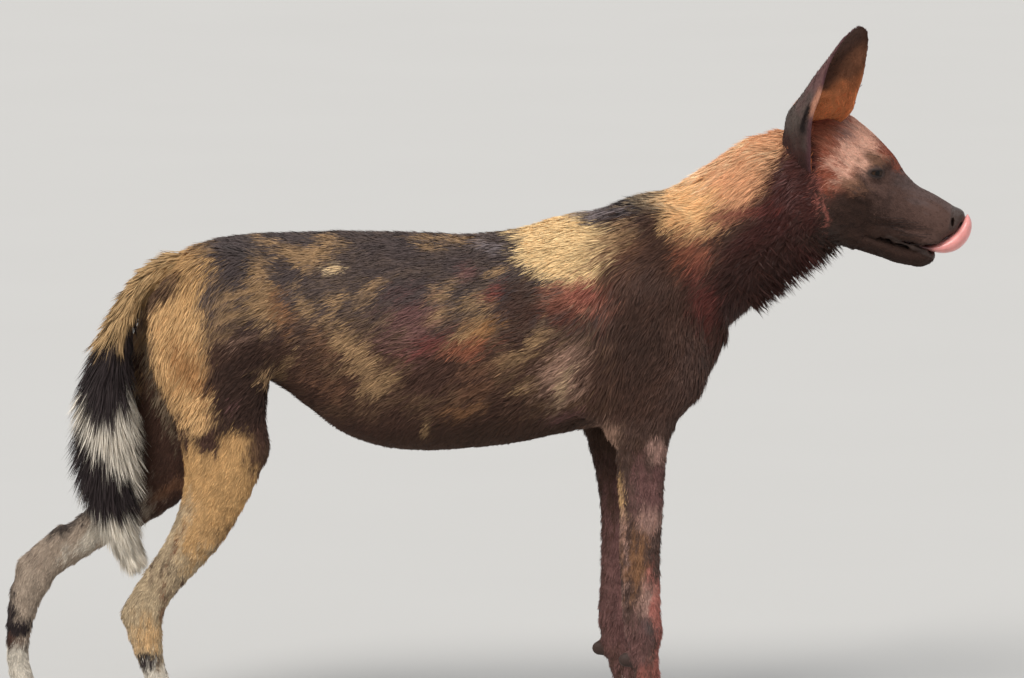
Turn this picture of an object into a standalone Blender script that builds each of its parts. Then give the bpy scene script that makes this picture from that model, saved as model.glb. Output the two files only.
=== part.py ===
"""African wild dog, standing and licking its nose: a still, life-size model.

Metres, +Z up, +X towards the nose, +Y to the animal's left. The origin is on
the floor under the middle of the model. The flesh is one smooth field of
lofts, tubes and blobs that blend into each other; it is sampled on grids, and
planes part it into the body's nodes.
"""

import math
import random

import bmesh
import bpy
import numpy as np
from mathutils import Matrix, Vector

# Driving dimensions of the whole animal
CENTRE = (0.0, 0.020, 0.0)  # the middle of the model's box on the floor, in the animal's own frame
GAP = 0.0003
FAR = 1.0
# How finely each piece is sampled, and about how many triangles its sampled box keeps
SAMPLING = {
    "torso": (0.0065, 1900),
    "neck": (0.0055, 1050),
    "head": (0.0022, 2250),
    "jaw": (0.0020, 330),
    "upper": (0.0050, 900),
    "middle": (0.0036, 400),
    "foot": (0.0024, 610),
    "tail": (0.0040, 330),
}

# The trunk's sections: place along X, top, bottom, half width
TRUNK = (
    (-0.425, 0.606, 0.545, 0.034),
    (-0.400, 0.634, 0.515, 0.054),
    (-0.360, 0.650, 0.492, 0.069),
    (-0.310, 0.658, 0.475, 0.074),
    (-0.265, 0.660, 0.451, 0.074),
    (-0.230, 0.661, 0.424, 0.077),
    (-0.195, 0.662, 0.398, 0.084),
    (-0.142, 0.661, 0.377, 0.094),
    (-0.089, 0.660, 0.371, 0.101),
    (-0.024, 0.658, 0.374, 0.105),
    (0.042, 0.666, 0.382, 0.104),
    (0.095, 0.681, 0.393, 0.099),
    (0.147, 0.690, 0.403, 0.093),
    (0.200, 0.700, 0.412, 0.085),
    (0.240, 0.690, 0.430, 0.074),
    (0.272, 0.660, 0.460, 0.058),
    (0.284, 0.620, 0.505, 0.040),
)
# The neck's sections, along an axis that climbs from the shoulders
NECK_ROOT = (0.20, 0.60)
NECK_PITCH = math.radians(35)
NECK = (
    (0.000, 0.070, -0.120, 0.078),
    (0.040, 0.074, -0.121, 0.078),
    (0.080, 0.074, -0.116, 0.076),
    (0.120, 0.073, -0.112, 0.073),
    (0.160, 0.072, -0.110, 0.070),
    (0.195, 0.071, -0.110, 0.068),
    (0.230, 0.067, -0.106, 0.065),
    (0.255, 0.058, -0.092, 0.058),
)
# The head's sections, along an axis that falls from between the ears to the nose
HEAD_ROOT = (0.43, 0.735)
HEAD_PITCH = math.radians(-25)
SKULL = (
    (-0.030, 0.070, -0.045, 0.048),
    (0.000, 0.090, -0.060, 0.057),
    (0.030, 0.0865, -0.067, 0.060),
    (0.060, 0.0770, -0.064, 0.057),
    (0.085, 0.0660, -0.052, 0.050),
    (0.105, 0.0530, -0.038, 0.042),
    (0.126, 0.0450, -0.0270, 0.0350),
    (0.146, 0.0435, -0.0240, 0.0310),
    (0.166, 0.0417, -0.0205, 0.0290),
    (0.183, 0.0395, -0.0125, 0.0255),
    (0.193, 0.0370, 0.0020, 0.0210),
)
JAW_REAR = (
    (0.010, -0.030, -0.0665, 0.042),
    (0.045, -0.028, -0.0710, 0.044),
    (0.086, -0.028, -0.0690, 0.0395),
)
JAW = (
    (0.060, -0.034, -0.0700, 0.036),
    (0.100, -0.0335, -0.0655, 0.036),
    (0.124, -0.0325, -0.0625, 0.030),
    (0.146, -0.0310, -0.0605, 0.0255),
    (0.166, -0.0300, -0.0545, 0.0215),
    (0.177, -0.0280, -0.0480, 0.0170),
    (0.183, -0.0255, -0.0400, 0.0125),
)
EYE_RADIUS = 0.0112
EYE_AT = (0.0645, 0.0388, 0.0395)  # along the head, up from its axis, out to the side
EYE_LOOK = (0.42, 0.10, 0.90)
NOSTRIL_AT = (0.1955, 0.0215, 0.0105)
# The cheek bone's line and the upper lip's line: along the head, up from its axis, out to the side
ARCH = ((0.088, 0.010, 0.040), (0.050, 0.010, 0.054), (0.005, 0.014, 0.054))
LIP = (
    (0.098, -0.0300, 0.0340),
    (0.114, -0.0275, 0.0318),
    (0.130, -0.0240, 0.0298),
    (0.160, -0.0170, 0.0255),
    (0.180, -0.0080, 0.0190),
)

# A foot's toes: how far each stands out from the foot's middle, and how far it reaches forward
TOES = ((-0.021, 0.036), (-0.0075, 0.050), (0.0075, 0.050), (0.021, 0.036))

# Limb sections: x, y out from the middle, z, half depth seen from the side, half width
NEAR_FORELEG = (
    (0.222, 0.058, 0.520, 0.050, 0.030),
    (0.214, 0.060, 0.450, 0.046, 0.031),
    (0.203, 0.058, 0.400, 0.037, 0.026),
    (0.2010, 0.056, 0.345, 0.0320, 0.0200),
    (0.2010, 0.053, 0.290, 0.0290, 0.0180),
    (0.1995, 0.051, 0.240, 0.0278, 0.0165),
    (0.2010, 0.049, 0.190, 0.0265, 0.0165),
    (0.203, 0.048, 0.140, 0.0245, 0.0180),
    (0.206, 0.048, 0.108, 0.0195, 0.0170),
    (0.211, 0.049, 0.070, 0.0170, 0.0175),
    (0.219, 0.050, 0.042, 0.0170, 0.0220),
)
FAR_FORELEG = (
    (0.205, 0.058, 0.520, 0.050, 0.030),
    (0.1840, 0.060, 0.450, 0.0505, 0.031),
    (0.1715, 0.058, 0.400, 0.0460, 0.026),
    (0.1720, 0.056, 0.345, 0.0325, 0.0200),
    (0.175, 0.053, 0.290, 0.0270, 0.0180),
    (0.175, 0.051, 0.240, 0.0262, 0.0165),
    (0.173, 0.049, 0.190, 0.0250, 0.0165),
    (0.169, 0.048, 0.140, 0.0235, 0.0180),
    (0.170, 0.048, 0.108, 0.0190, 0.0170),
    (0.180, 0.049, 0.070, 0.0170, 0.0175),
    (0.190, 0.050, 0.042, 0.0170, 0.0220),
)
NEAR_HINDLEG = (
    (-0.352, 0.046, 0.560, 0.072, 0.030),
    (-0.352, 0.049, 0.490, 0.070, 0.034),
    (-0.350, 0.052, 0.425, 0.060, 0.032),
    (-0.346, 0.054, 0.375, 0.055, 0.029),
    (-0.358, 0.056, 0.320, 0.043, 0.025),
    (-0.383, 0.056, 0.265, 0.0340, 0.021),
    (-0.412, 0.055, 0.225, 0.0275, 0.017),
    (-0.440, 0.054, 0.188, 0.0250, 0.0155),
    (-0.453, 0.053, 0.160, 0.0260, 0.0165),
    (-0.450, 0.052, 0.130, 0.0230, 0.0155),
    (-0.443, 0.052, 0.098, 0.0170, 0.0145),
    (-0.433, 0.053, 0.068, 0.0155, 0.0160),
    (-0.424, 0.054, 0.042, 0.0160, 0.0210),
)
FAR_HINDLEG = (
    (-0.372, 0.046, 0.560, 0.078, 0.030),
    (-0.398, 0.049, 0.480, 0.078, 0.034),
    (-0.410, 0.052, 0.410, 0.068, 0.032),
    (-0.421, 0.054, 0.352, 0.052, 0.029),
    (-0.457, 0.056, 0.306, 0.0385, 0.025),
    (-0.503, 0.057, 0.272, 0.0295, 0.020),
    (-0.550, 0.057, 0.238, 0.0250, 0.017),
    (-0.592, 0.056, 0.208, 0.0240, 0.0155),
    (-0.610, 0.055, 0.178, 0.0235, 0.0165),
    (-0.619, 0.055, 0.145, 0.0195, 0.0150),
    (-0.624, 0.055, 0.108, 0.0160, 0.0145),
    (-0.623, 0.055, 0.074, 0.0150, 0.0160),
    (-0.615, 0.056, 0.046, 0.0155, 0.0210),
)
# Ear sections: place above the root, x, out, half width, depth
EAR = (
    (-0.052, 0.4275, -0.014, 0.0180, 0.0300),
    (-0.026, 0.4300, -0.006, 0.0280, 0.0460),
    (0.003, 0.4332, 0.000, 0.0360, 0.0575),
    (0.0255, 0.4377, 0.000, 0.0400, 0.0585),
    (0.0517, 0.4424, 0.000, 0.0430, 0.0580),
    (0.0751, 0.4494, 0.000, 0.0440, 0.0480),
    (0.0999, 0.4592, 0.000, 0.0430, 0.0415),
    (0.1207, 0.4649, 0.000, 0.0415, 0.0330),
    (0.1427, 0.4696, 0.000, 0.0390, 0.0200),
    (0.1635, 0.4750, 0.000, 0.0315, 0.0110),
    (0.1774, 0.4784, 0.000, 0.0215, 0.0055),
    (0.1850, 0.4806, 0.000, 0.0095, 0.0030),
)
EAR_ROOT = (0.046, 0.765)
EAR_LEAN = {-1: math.radians(16), 1: math.radians(38)}
EAR_TURN = math.radians(43)
EAR_SIZE = {-1: 1.0, 1: 0.88}
EAR_HEIGHT = {-1: 0.966, 1: 0.940}
EAR_SHIFT = {-1: 0.0, 1: 0.006}
EAR_THICKNESS = 0.0036
# The tail's line: x, z, half width of the dense coat, reach of the locks
TAIL = (
    (-0.385, 0.622, 0.026, 0.030),
    (-0.425, 0.612, 0.023, 0.027),
    (-0.456, 0.588, 0.020, 0.024),
    (-0.478, 0.550, 0.019, 0.024),
    (-0.494, 0.505, 0.021, 0.034),
    (-0.502, 0.450, 0.024, 0.048),
    (-0.503, 0.395, 0.027, 0.058),
    (-0.502, 0.340, 0.027, 0.058),
    (-0.497, 0.296, 0.022, 0.051),
    (-0.481, 0.255, 0.014, 0.034),
    (-0.464, 0.218, 0.008, 0.019),
)
TAIL_CUTS = (13, 26)
TONGUE = (
    (0.5336, 0.6543, 0.0024, 0.0170),
    (0.5508, 0.6486, 0.0034, 0.0170),
    (0.5696, 0.6417, 0.0044, 0.0165),
    (0.5829, 0.6395, 0.0052, 0.0170),
    (0.5960, 0.6405, 0.0088, 0.0180),
    (0.6098, 0.6458, 0.0114, 0.0190),
    (0.6197, 0.6547, 0.0114, 0.0185),
    (0.6264, 0.6654, 0.0092, 0.0170),
    (0.6290, 0.6750, 0.0064, 0.0135),
    (0.6300, 0.6830, 0.0032, 0.0080),
)

COLOURS = {
    "coat_dark": ((0.045, 0.036, 0.034, 1), 0.8),
    "coat_tan": ((0.50, 0.31, 0.13, 1), 0.85),
    "coat_muzzle": ((0.035, 0.028, 0.028, 1), 0.65),
    "coat_leg": ((0.36, 0.24, 0.13, 1), 0.8),
    "coat_foreleg": ((0.11, 0.065, 0.055, 1), 0.75),
    "coat_white": ((0.72, 0.68, 0.60, 1), 0.85),
    "ear_skin": ((0.06, 0.045, 0.043, 1), 0.7),
    "tongue": ((0.72, 0.30, 0.29, 1), 0.35),
    "eye": ((0.045, 0.022, 0.012, 1), 0.08),
    "claw": ((0.05, 0.04, 0.035, 1), 0.45),
}


def clear_scene():
    for obj in list(bpy.data.objects):
        bpy.data.objects.remove(obj, do_unlink=True)


def material(name):
    found = bpy.data.materials.get(name)
    if found:
        return found
    made = bpy.data.materials.new(name)
    made.use_nodes = True
    shader = made.node_tree.nodes["Principled BSDF"]
    colour, roughness = COLOURS[name]
    shader.inputs["Base Color"].default_value = colour
    shader.inputs["Roughness"].default_value = roughness
    shader.inputs["Metallic"].default_value = 0.0
    made.diffuse_color = colour
    return made


def new_object(name, mesh, finish):
    obj = bpy.data.objects.new(name, mesh)
    bpy.context.scene.collection.objects.link(obj)
    mesh.materials.clear()
    mesh.materials.append(material(finish))
    return obj


# Smooth curves through stations


def through(places, values, at):
    """A smooth curve through the stations: a cubic between each two, with the mean slope at each."""
    places, values = np.asarray(places, float), np.asarray(values, float)
    slopes = np.gradient(values, places)
    at = np.clip(at, places[0], places[-1])
    i = np.clip(np.searchsorted(places, at, side="right") - 1, 0, len(places) - 2)
    span = places[i + 1] - places[i]
    t = (at - places[i]) / span
    start = (1 + 2 * t) * (1 - t) ** 2 * values[i] + t * (1 - t) ** 2 * span * slopes[i]
    end = t * t * (3 - 2 * t) * values[i + 1] - t * t * (1 - t) * span * slopes[i + 1]
    return start + end


def resampled(stations, count):
    """The same stretch with more stations, evenly spaced along its line in the first three columns."""
    rows = np.asarray(stations, float)
    run = np.concatenate([[0], np.cumsum(np.linalg.norm(np.diff(rows[:, :3], axis=0), axis=1))])
    at = np.linspace(0, run[-1], count)
    return np.stack([through(run, rows[:, k], at) for k in range(rows.shape[1])], axis=1)


# The shapes that the flesh is blended from. Each has a box and a distance.


def ellipsoid_distance(scaled, radii_squared):
    """Distance to a surface on which the scaled point has length 1."""
    k0 = np.sqrt(sum(s * s for s in scaled))
    k1 = np.sqrt(sum((s * s) / r for s, r in zip(scaled, radii_squared)))
    return k0 * (k0 - 1) / np.maximum(k1, 1e-6)


class Loft:
    """Sections square to a straight axis in the middle plane, each with a top, a bottom and a half width."""

    def __init__(self, root, pitch, stations, narrow=0.15, end=0.02):
        self.root, self.narrow, self.end = root, narrow, end
        self.cos, self.sin = math.cos(pitch), math.sin(pitch)
        self.rows = np.asarray(stations, float)
        corners = [self.place(row[0], row[k]) for row in self.rows for k in (1, 2)]
        xs, zs = [c[0] for c in corners], [c[1] for c in corners]
        wide = self.rows[:, 3].max() * (1 + narrow)
        self.low = np.array([min(xs) - end, -wide, min(zs) - end])
        self.high = np.array([max(xs) + end, wide, max(zs) + end])

    def place(self, along, up):
        return (
            self.root[0] + along * self.cos - up * self.sin,
            self.root[1] + along * self.sin + up * self.cos,
        )

    def distance(self, x, y, z):
        dx, dz = x - self.root[0], z - self.root[1]
        along = dx * self.cos + dz * self.sin
        up = dz * self.cos - dx * self.sin
        places = self.rows[:, 0]
        at = np.clip(along, places[0], places[-1])
        top, bottom, half = (through(places, self.rows[:, k], at) for k in (1, 2, 3))
        tall = (top - bottom) / 2
        v = (up - (top + bottom) / 2) / tall
        wide = half * (1 - self.narrow * np.clip(v, -1, 1))
        over = (along - at) / self.end
        scaled = (y / wide, v, over)
        return ellipsoid_distance(scaled, (wide**2, tall**2, self.end**2))


class Blob:
    """An ellipsoid, turned about the Y axis by pitch and then about Z by yaw."""

    def __init__(self, centre, radii, pitch=0.0, yaw=0.0):
        self.centre, self.radii = np.array(centre, float), radii
        turn = Matrix.Rotation(yaw, 3, "Z") @ Matrix.Rotation(-pitch, 3, "Y")
        self.axes = np.array(turn).T
        reach = np.sqrt(((self.axes * np.array(radii)[:, None]) ** 2).sum(axis=0))
        self.low, self.high = self.centre - reach, self.centre + reach

    def distance(self, x, y, z):
        d = (x - self.centre[0], y - self.centre[1], z - self.centre[2])
        scaled = [sum(a * q for a, q in zip(axis, d)) / r for axis, r in zip(self.axes, self.radii)]
        return ellipsoid_distance(scaled, [r * r for r in self.radii])


class Stretch:
    """One straight length of a limb between two sections, round at its ends."""

    def __init__(self, first, second):
        self.a, b = np.array(first[:3]), np.array(second[:3])
        self.deep, self.wide = (first[3], second[3]), (first[4], second[4])
        line = b - self.a
        self.length = float(np.linalg.norm(line))
        self.along = line / self.length
        out = np.array([0.0, 1.0, 0.0])
        out -= self.along * (out @ self.along)
        self.out = out / np.linalg.norm(out)
        self.side = np.cross(self.along, self.out)
        reach = max(*self.deep, *self.wide)
        self.low = np.minimum(self.a, b) - reach
        self.high = np.maximum(self.a, b) + reach

    def distance(self, x, y, z):
        d = (x - self.a[0], y - self.a[1], z - self.a[2])
        along, side, out = (
            sum(float(a) * q for a, q in zip(axis, d)) for axis in (self.along, self.side, self.out)
        )
        at = np.clip(along, 0, self.length)
        share = at / self.length
        deep = self.deep[0] + (self.deep[1] - self.deep[0]) * share
        wide = self.wide[0] + (self.wide[1] - self.wide[0]) * share
        end = np.minimum(deep, wide)
        scaled = (side / deep, out / wide, (along - at) / end)
        return ellipsoid_distance(scaled, (deep**2, wide**2, end**2))


class Field:
    """Distances to the blended surface at the points of a box grid: negative inside."""

    def __init__(self, low, high, step):
        self.step, self.low = step, np.array(low, float)
        counts = np.ceil((np.array(high) - self.low) / step).astype(int) + 1
        self.axes = [self.low[k] + step * np.arange(counts[k]) for k in range(3)]
        self.value = np.full(counts, FAR, np.float32)

    def window(self, shape, margin):
        """The grid's slices round a shape, and their coordinates, or None where they miss the grid."""
        cuts = []
        for k, axis in enumerate(self.axes):
            i = np.searchsorted(axis, shape.low[k] - margin)
            j = np.searchsorted(axis, shape.high[k] + margin)
            if i >= j:
                return None
            cuts.append(slice(i, j))
        x, y, z = (axis[cut] for axis, cut in zip(self.axes, cuts))
        return tuple(cuts), (x[:, None, None], y[None, :, None], z[None, None, :])

    def combine(self, shape, blend, carve=False):
        found = self.window(shape, blend + 3 * self.step)
        if found is None:
            return
        cuts, places = found
        old, new = self.value[cuts], shape.distance(*places).astype(np.float32)
        if carve:
            old, new = -old, new
        soft = np.maximum(blend - np.abs(old - new), 0) / max(blend, 1e-6)
        merged = np.minimum(old, new) - soft * soft * blend / 4
        self.value[cuts] = -merged if carve else merged


# The animal's flesh


def head_point(along, up, out, side=1):
    cos, sin = math.cos(HEAD_PITCH), math.sin(HEAD_PITCH)
    x = HEAD_ROOT[0] + along * cos - up * sin
    z = HEAD_ROOT[1] + along * sin + up * cos
    return Vector((x, side * out, z))


def head_direction(along, up, out, side=1):
    return (head_point(along, up, out, side) - head_point(0, 0, 0)).normalized()


def limb(stations, side, count):
    rows = resampled(stations, count)
    rows[:, 1] *= side
    return [Stretch(a, b) for a, b in zip(rows[:-1], rows[1:])]


def paw(x, y, side, pitch, size):
    """The pieces of one foot: four toes that arch to their tips, and the pads under them."""
    pieces = []
    for out, reach in TOES:
        root = (x - 0.006 * size, y + 0.75 * out * size, 0.038 * size)
        knuckle = (x + 0.62 * reach * size, y + out * size, (0.0300 + pitch) * size)
        tip = (x + reach * size, y + 1.08 * out * size, 0.0130 * size)
        thick = 0.0115 * size
        pieces.append(Stretch((*root, thick, thick), (*knuckle, thick, thick)))
        pieces.append(Stretch((*knuckle, thick, thick), (*tip, 0.0105 * size, 0.0105 * size)))
        pad = (x + (reach - 0.004) * size, y + 1.05 * out * size, 0.0060 * size)
        pieces.append(Blob(pad, (0.0120 * size, 0.0085 * size, 0.0080 * size)))
    pieces.append(Blob((x + 0.006 * size, y, 0.0085 * size), (0.017 * size, 0.020 * size, 0.0115 * size)))
    return pieces


FEET = {
    "foreleg_right": (0.226, -0.050, 1.0),
    "foreleg_left": (0.198, 0.050, 1.0),
    "hindleg_right": (-0.418, -0.054, 0.93),
    "hindleg_left": (-0.609, 0.056, 0.93),
}
LIMBS = {
    "foreleg_right": (NEAR_FORELEG, -1, 26),
    "foreleg_left": (FAR_FORELEG, 1, 26),
    "hindleg_right": (NEAR_HINDLEG, -1, 30),
    "hindleg_left": (FAR_HINDLEG, 1, 30),
}


def add_trunk(field):
    field.combine(Loft((0, 0), 0.0, TRUNK, narrow=0.10), 0.0)
    field.combine(Loft(NECK_ROOT, NECK_PITCH, NECK, narrow=0.05, end=0.03), 0.05)
    for side in (-1, 1):
        shoulder = Blob((0.215, side * 0.058, 0.600), (0.060, 0.032, 0.100), math.radians(-18))
        field.combine(shoulder, 0.03)
        arm = Blob((0.232, side * 0.060, 0.500), (0.052, 0.033, 0.070), math.radians(30))
        field.combine(arm, 0.03)
        triceps = Blob((0.170, side * 0.064, 0.475), (0.050, 0.027, 0.062), math.radians(-35))
        field.combine(triceps, 0.025)
        haunch = Blob((-0.345, side * 0.052, 0.560), (0.075, 0.036, 0.085), math.radians(10))
        field.combine(haunch, 0.03)
        hamstring = Blob((-0.400, side * 0.044, 0.520), (0.045, 0.031, 0.085), math.radians(4))
        field.combine(hamstring, 0.025)
    field.combine(Blob((0.267, 0, 0.500), (0.030, 0.045, 0.045)), 0.03)


def add_legs(field):
    for name, (stations, side, count) in LIMBS.items():
        leg = Field.__new__(Field)
        leg.step, leg.low, leg.axes = field.step, field.low, field.axes
        leg.value = np.full_like(field.value, FAR)
        for piece in limb(stations, side, count):
            leg.combine(piece, 0.004)
        x, y, size = FEET[name]
        for piece in paw(x, y, side, 0.0, size):
            leg.combine(piece, 0.006)
        for piece in leg_details(name, side):
            leg.combine(piece, 0.010)
        soft = np.maximum(0.022 - np.abs(field.value - leg.value), 0) / 0.022
        field.value = np.minimum(field.value, leg.value) - soft * soft * 0.022 / 4


def leg_details(name, side):
    """The elbow, wrist pad, knee, hock and hamstring cord of one leg."""
    stations = LIMBS[name][0]
    if name.startswith("fore"):
        x, z = stations[2][0], stations[2][2]
        wrist = stations[7]
        return [
            Blob((x - 0.030, side * 0.060, z + 0.012), (0.020, 0.015, 0.026), math.radians(-20)),
            Blob((wrist[0] - 0.025, side * 0.050, wrist[2] - 0.042), (0.0105, 0.0090, 0.0110)),
            Blob((wrist[0] + 0.004, side * 0.048, wrist[2] - 0.004), (0.0225, 0.0195, 0.024)),
        ]
    knee, hock, heel = HIND_POINTS[name]
    return [
        Blob((knee[0], side * 0.055, knee[1]), (0.032, 0.027, 0.036), math.radians(20)),
        Stretch(
            (heel[0], side * 0.052, heel[1], 0.0120, 0.0095), (hock[0], side * 0.053, hock[1], 0.017, 0.0145)
        ),
        Stretch(
            (heel[0] + 0.002, side * 0.052, heel[1] + 0.004, 0.0090, 0.0070),
            (heel[0] + 0.052, side * 0.052, heel[1] + heel[2], 0.0120, 0.0090),
        ),
    ]


# Knee, hock joint, and the heel's tip with the rise of the cord that pulls it: x, z
HIND_POINTS = {
    "hindleg_right": ((-0.318, 0.385), (-0.445, 0.165), (-0.473, 0.158, 0.070)),
    "hindleg_left": ((-0.392, 0.362), (-0.597, 0.186), (-0.615, 0.209, 0.046)),
}


def add_head(field):
    field.combine(Loft(HEAD_ROOT, HEAD_PITCH, SKULL, narrow=0.16, end=0.0075), 0.028)
    field.combine(Loft(HEAD_ROOT, HEAD_PITCH, JAW_REAR, narrow=-0.10, end=0.0085), 0.012)
    for side in (-1, 1):
        cheek = head_point(0.020, -0.024, 0.040, side)
        field.combine(Blob(cheek, (0.046, 0.026, 0.040), HEAD_PITCH), 0.014)
        arch = [head_point(*p, side) for p in ARCH]
        for a, b in zip(arch[:-1], arch[1:]):
            field.combine(Stretch((*a, 0.012, 0.010), (*b, 0.012, 0.010)), 0.012)
        brow = head_point(0.0630, 0.0595, 0.0275, side)
        field.combine(Blob(brow, (0.020, 0.012, 0.0095), HEAD_PITCH - 0.3), 0.014)
        ear_root = Blob((0.426, side * 0.043, 0.762), (0.034, 0.025, 0.036))
        field.combine(ear_root, 0.026)
        lip = [head_point(*p, side) for p in LIP]
        for a, b in zip(lip[:-1], lip[1:]):
            field.combine(Stretch((*a, 0.0065, 0.0050), (*b, 0.0065, 0.0050)), 0.008)
    nose = head_point(0.1915, 0.0265, 0.0)
    field.combine(Blob(nose, (0.0110, 0.0165, 0.0125), HEAD_PITCH), 0.006)
    for side in (-1, 1):
        socket = head_point(EYE_AT[0] + 0.010, EYE_AT[1], EYE_AT[2] + 0.0175, side)
        field.combine(Blob(socket, (0.018, 0.011, 0.013), HEAD_PITCH), 0.012, carve=True)
        eye = head_point(*EYE_AT, side)
        lids = EYE_RADIUS + 0.0024
        field.combine(Blob(eye, (lids, lids, lids)), 0.007)
        look = head_direction(*EYE_LOOK, side)
        opening = eye + look * (EYE_RADIUS + 0.002)
        yaw = math.atan2(look.y, look.x)
        field.combine(Blob(opening, (0.0085, 0.0122, 0.0052), 0.0, yaw), 0.001, carve=True)
        hole = head_point(*NOSTRIL_AT, side)
        field.combine(Blob(hole, (0.0085, 0.0036, 0.0048), HEAD_PITCH, side * 0.5), 0.0015, carve=True)
        slit = head_point(NOSTRIL_AT[0] - 0.006, NOSTRIL_AT[1] - 0.004, NOSTRIL_AT[2] + 0.0055, side)
        field.combine(Blob(slit, (0.0075, 0.0035, 0.0018), HEAD_PITCH - 0.5, side * 0.9), 0.001, carve=True)


def flesh_field(low, high, step, with_legs=True, with_head=True):
    field = Field(low, high, step)
    add_trunk(field)
    if with_legs:
        add_legs(field)
    if with_head:
        add_head(field)
    return field


# From a field to a mesh

CORNERS = np.array([(i, j, k) for i in (0, 1) for j in (0, 1) for k in (0, 1)])
EDGES = [(a, b) for a in range(8) for b in range(a + 1, 8) if abs(CORNERS[a] - CORNERS[b]).sum() == 1]
AROUND = {0: ((0, 0, 0), (0, -1, 0), (0, -1, -1), (0, 0, -1)),
          1: ((0, 0, 0), (0, 0, -1), (-1, 0, -1), (-1, 0, 0)),
          2: ((0, 0, 0), (-1, 0, 0), (-1, -1, 0), (0, -1, 0))}


def settled(value):
    """Fills corners that touch only across a cell's face, where two sheets would share an edge."""
    for _ in range(12):
        changed = 0
        for a, b in ((0, 1), (0, 2), (1, 2)):
            corner = {}
            for i in (0, 1):
                for j in (0, 1):
                    cut = [slice(None)] * 3
                    cut[a] = slice(i, value.shape[a] - 1 + i)
                    cut[b] = slice(j, value.shape[b] - 1 + j)
                    corner[i, j] = value[tuple(cut)]
            inside = {key: part < 0 for key, part in corner.items()}
            for own, other in (((0, 0), (1, 1)), ((0, 1), (1, 0))):
                apart = [key for key in corner if key not in (own, other)]
                touch = inside[own] & inside[other] & ~inside[apart[0]] & ~inside[apart[1]]
                if touch.any():
                    corner[apart[0]][touch] = -1e-5
                    inside = {key: part < 0 for key, part in corner.items()}
                    changed += int(touch.sum())
        if not changed:
            break
    return value


def surface_of(field):
    """Points and quads of the field's zero surface: one point in each cell that it crosses."""
    value = field.value.copy()
    for k in range(3):
        for end in (0, -1):
            wall = [slice(None)] * 3
            wall[k] = end
            value[tuple(wall)] = np.maximum(value[tuple(wall)], field.step * 0.5)
    inside = settled(value) < 0
    cells = np.array(value.shape) - 1
    count = np.zeros(cells, np.int8)
    for c in CORNERS:
        count += inside[c[0] : c[0] + cells[0], c[1] : c[1] + cells[1], c[2] : c[2] + cells[2]]
    at = np.argwhere((count > 0) & (count < 8))
    number = np.full(cells, -1, np.int32)
    number[tuple(at.T)] = np.arange(len(at))
    corner = np.stack([value[tuple((at + c).T)] for c in CORNERS], axis=1)
    total, hits = np.zeros((len(at), 3)), np.zeros(len(at))
    for a, b in EDGES:
        crossed = (corner[:, a] < 0) != (corner[:, b] < 0)
        fa, fb = corner[crossed, a], corner[crossed, b]
        share = (fa / (fa - fb))[:, None]
        total[crossed] += CORNERS[a] + share * (CORNERS[b] - CORNERS[a])
        hits[crossed] += 1
    points = field.low + field.step * (at + total / hits[:, None])
    quads = []
    for k in range(3):
        step = [0, 0, 0]
        step[k] = 1
        first = inside[: cells[0] + 1 - step[0], : cells[1] + 1 - step[1], : cells[2] + 1 - step[2]]
        second = inside[step[0] :, step[1] :, step[2] :]
        for rising in (True, False):
            edge = np.argwhere(first & ~second if rising else ~first & second)
            ring = [number[tuple((edge + offset).T)] for offset in AROUND[k]]
            ring = np.stack(ring if rising else ring[::-1], axis=1)
            quads.append(ring)
    return points, np.concatenate(quads)


def mesh_of(name, points, faces):
    mesh = bpy.data.meshes.new(name)
    mesh.from_pydata([tuple(p) for p in points], [], [tuple(int(i) for i in f) for f in faces])
    mesh.validate()
    return mesh


def applied(obj):
    """The object's mesh becomes what its modifiers make of it."""
    bpy.context.view_layer.update()
    graph = bpy.context.evaluated_depsgraph_get()
    made = bpy.data.meshes.new_from_object(obj.evaluated_get(graph))
    obj.modifiers.clear()
    obj.data = made
    return obj


def triangulated(obj):
    mesh = bmesh.new()
    mesh.from_mesh(obj.data)
    bmesh.ops.triangulate(mesh, faces=mesh.faces[:])
    mesh.to_mesh(obj.data)
    mesh.free()
    return obj


def smooth(obj):
    for face in obj.data.polygons:
        face.use_smooth = True
    obj.data.set_sharp_from_angle(angle=math.radians(50))


def thinned(obj, faces):
    """The mesh with about this many triangles."""
    triangulated(obj)
    if len(obj.data.polygons) > faces:
        modifier = obj.modifiers.new("Thin", "DECIMATE")
        modifier.ratio = faces / len(obj.data.polygons)
        applied(obj)
    return obj


def volume_of(mesh):
    return sum(f.calc_area() * f.normal.dot(f.calc_center_median()) for f in mesh.faces) / 3


def largest_only(obj):
    """Keeps the largest closed surface, and drops sealed hollows and scraps."""
    mesh = bmesh.new()
    mesh.from_mesh(obj.data)
    left, groups = set(mesh.verts), []
    while left:
        start = left.pop()
        group, edge = {start}, [start]
        while edge:
            for link in edge.pop().link_edges:
                for vert in link.verts:
                    if vert in left:
                        left.remove(vert)
                        group.add(vert)
                        edge.append(vert)
        groups.append(group)
    keep = max(groups, key=len)
    bmesh.ops.delete(mesh, geom=[v for v in mesh.verts if v not in keep], context="VERTS")
    mesh.to_mesh(obj.data)
    mesh.free()
    return obj


def boolean(obj, other, operation):
    """Cuts or joins one closed surface with another."""
    modifier = obj.modifiers.new("Join", "BOOLEAN")
    # The exact solver leaves a sealed hollow in the head, so this one is used.
    modifier.operation, modifier.solver, modifier.object = operation, "MANIFOLD", other
    applied(obj)
    return obj


def copy_of(obj, name):
    made = bpy.data.objects.new(name, obj.data.copy())
    bpy.context.scene.collection.objects.link(made)
    return made


def drop(*objects):
    for obj in objects:
        bpy.data.objects.remove(obj, do_unlink=True)


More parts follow.
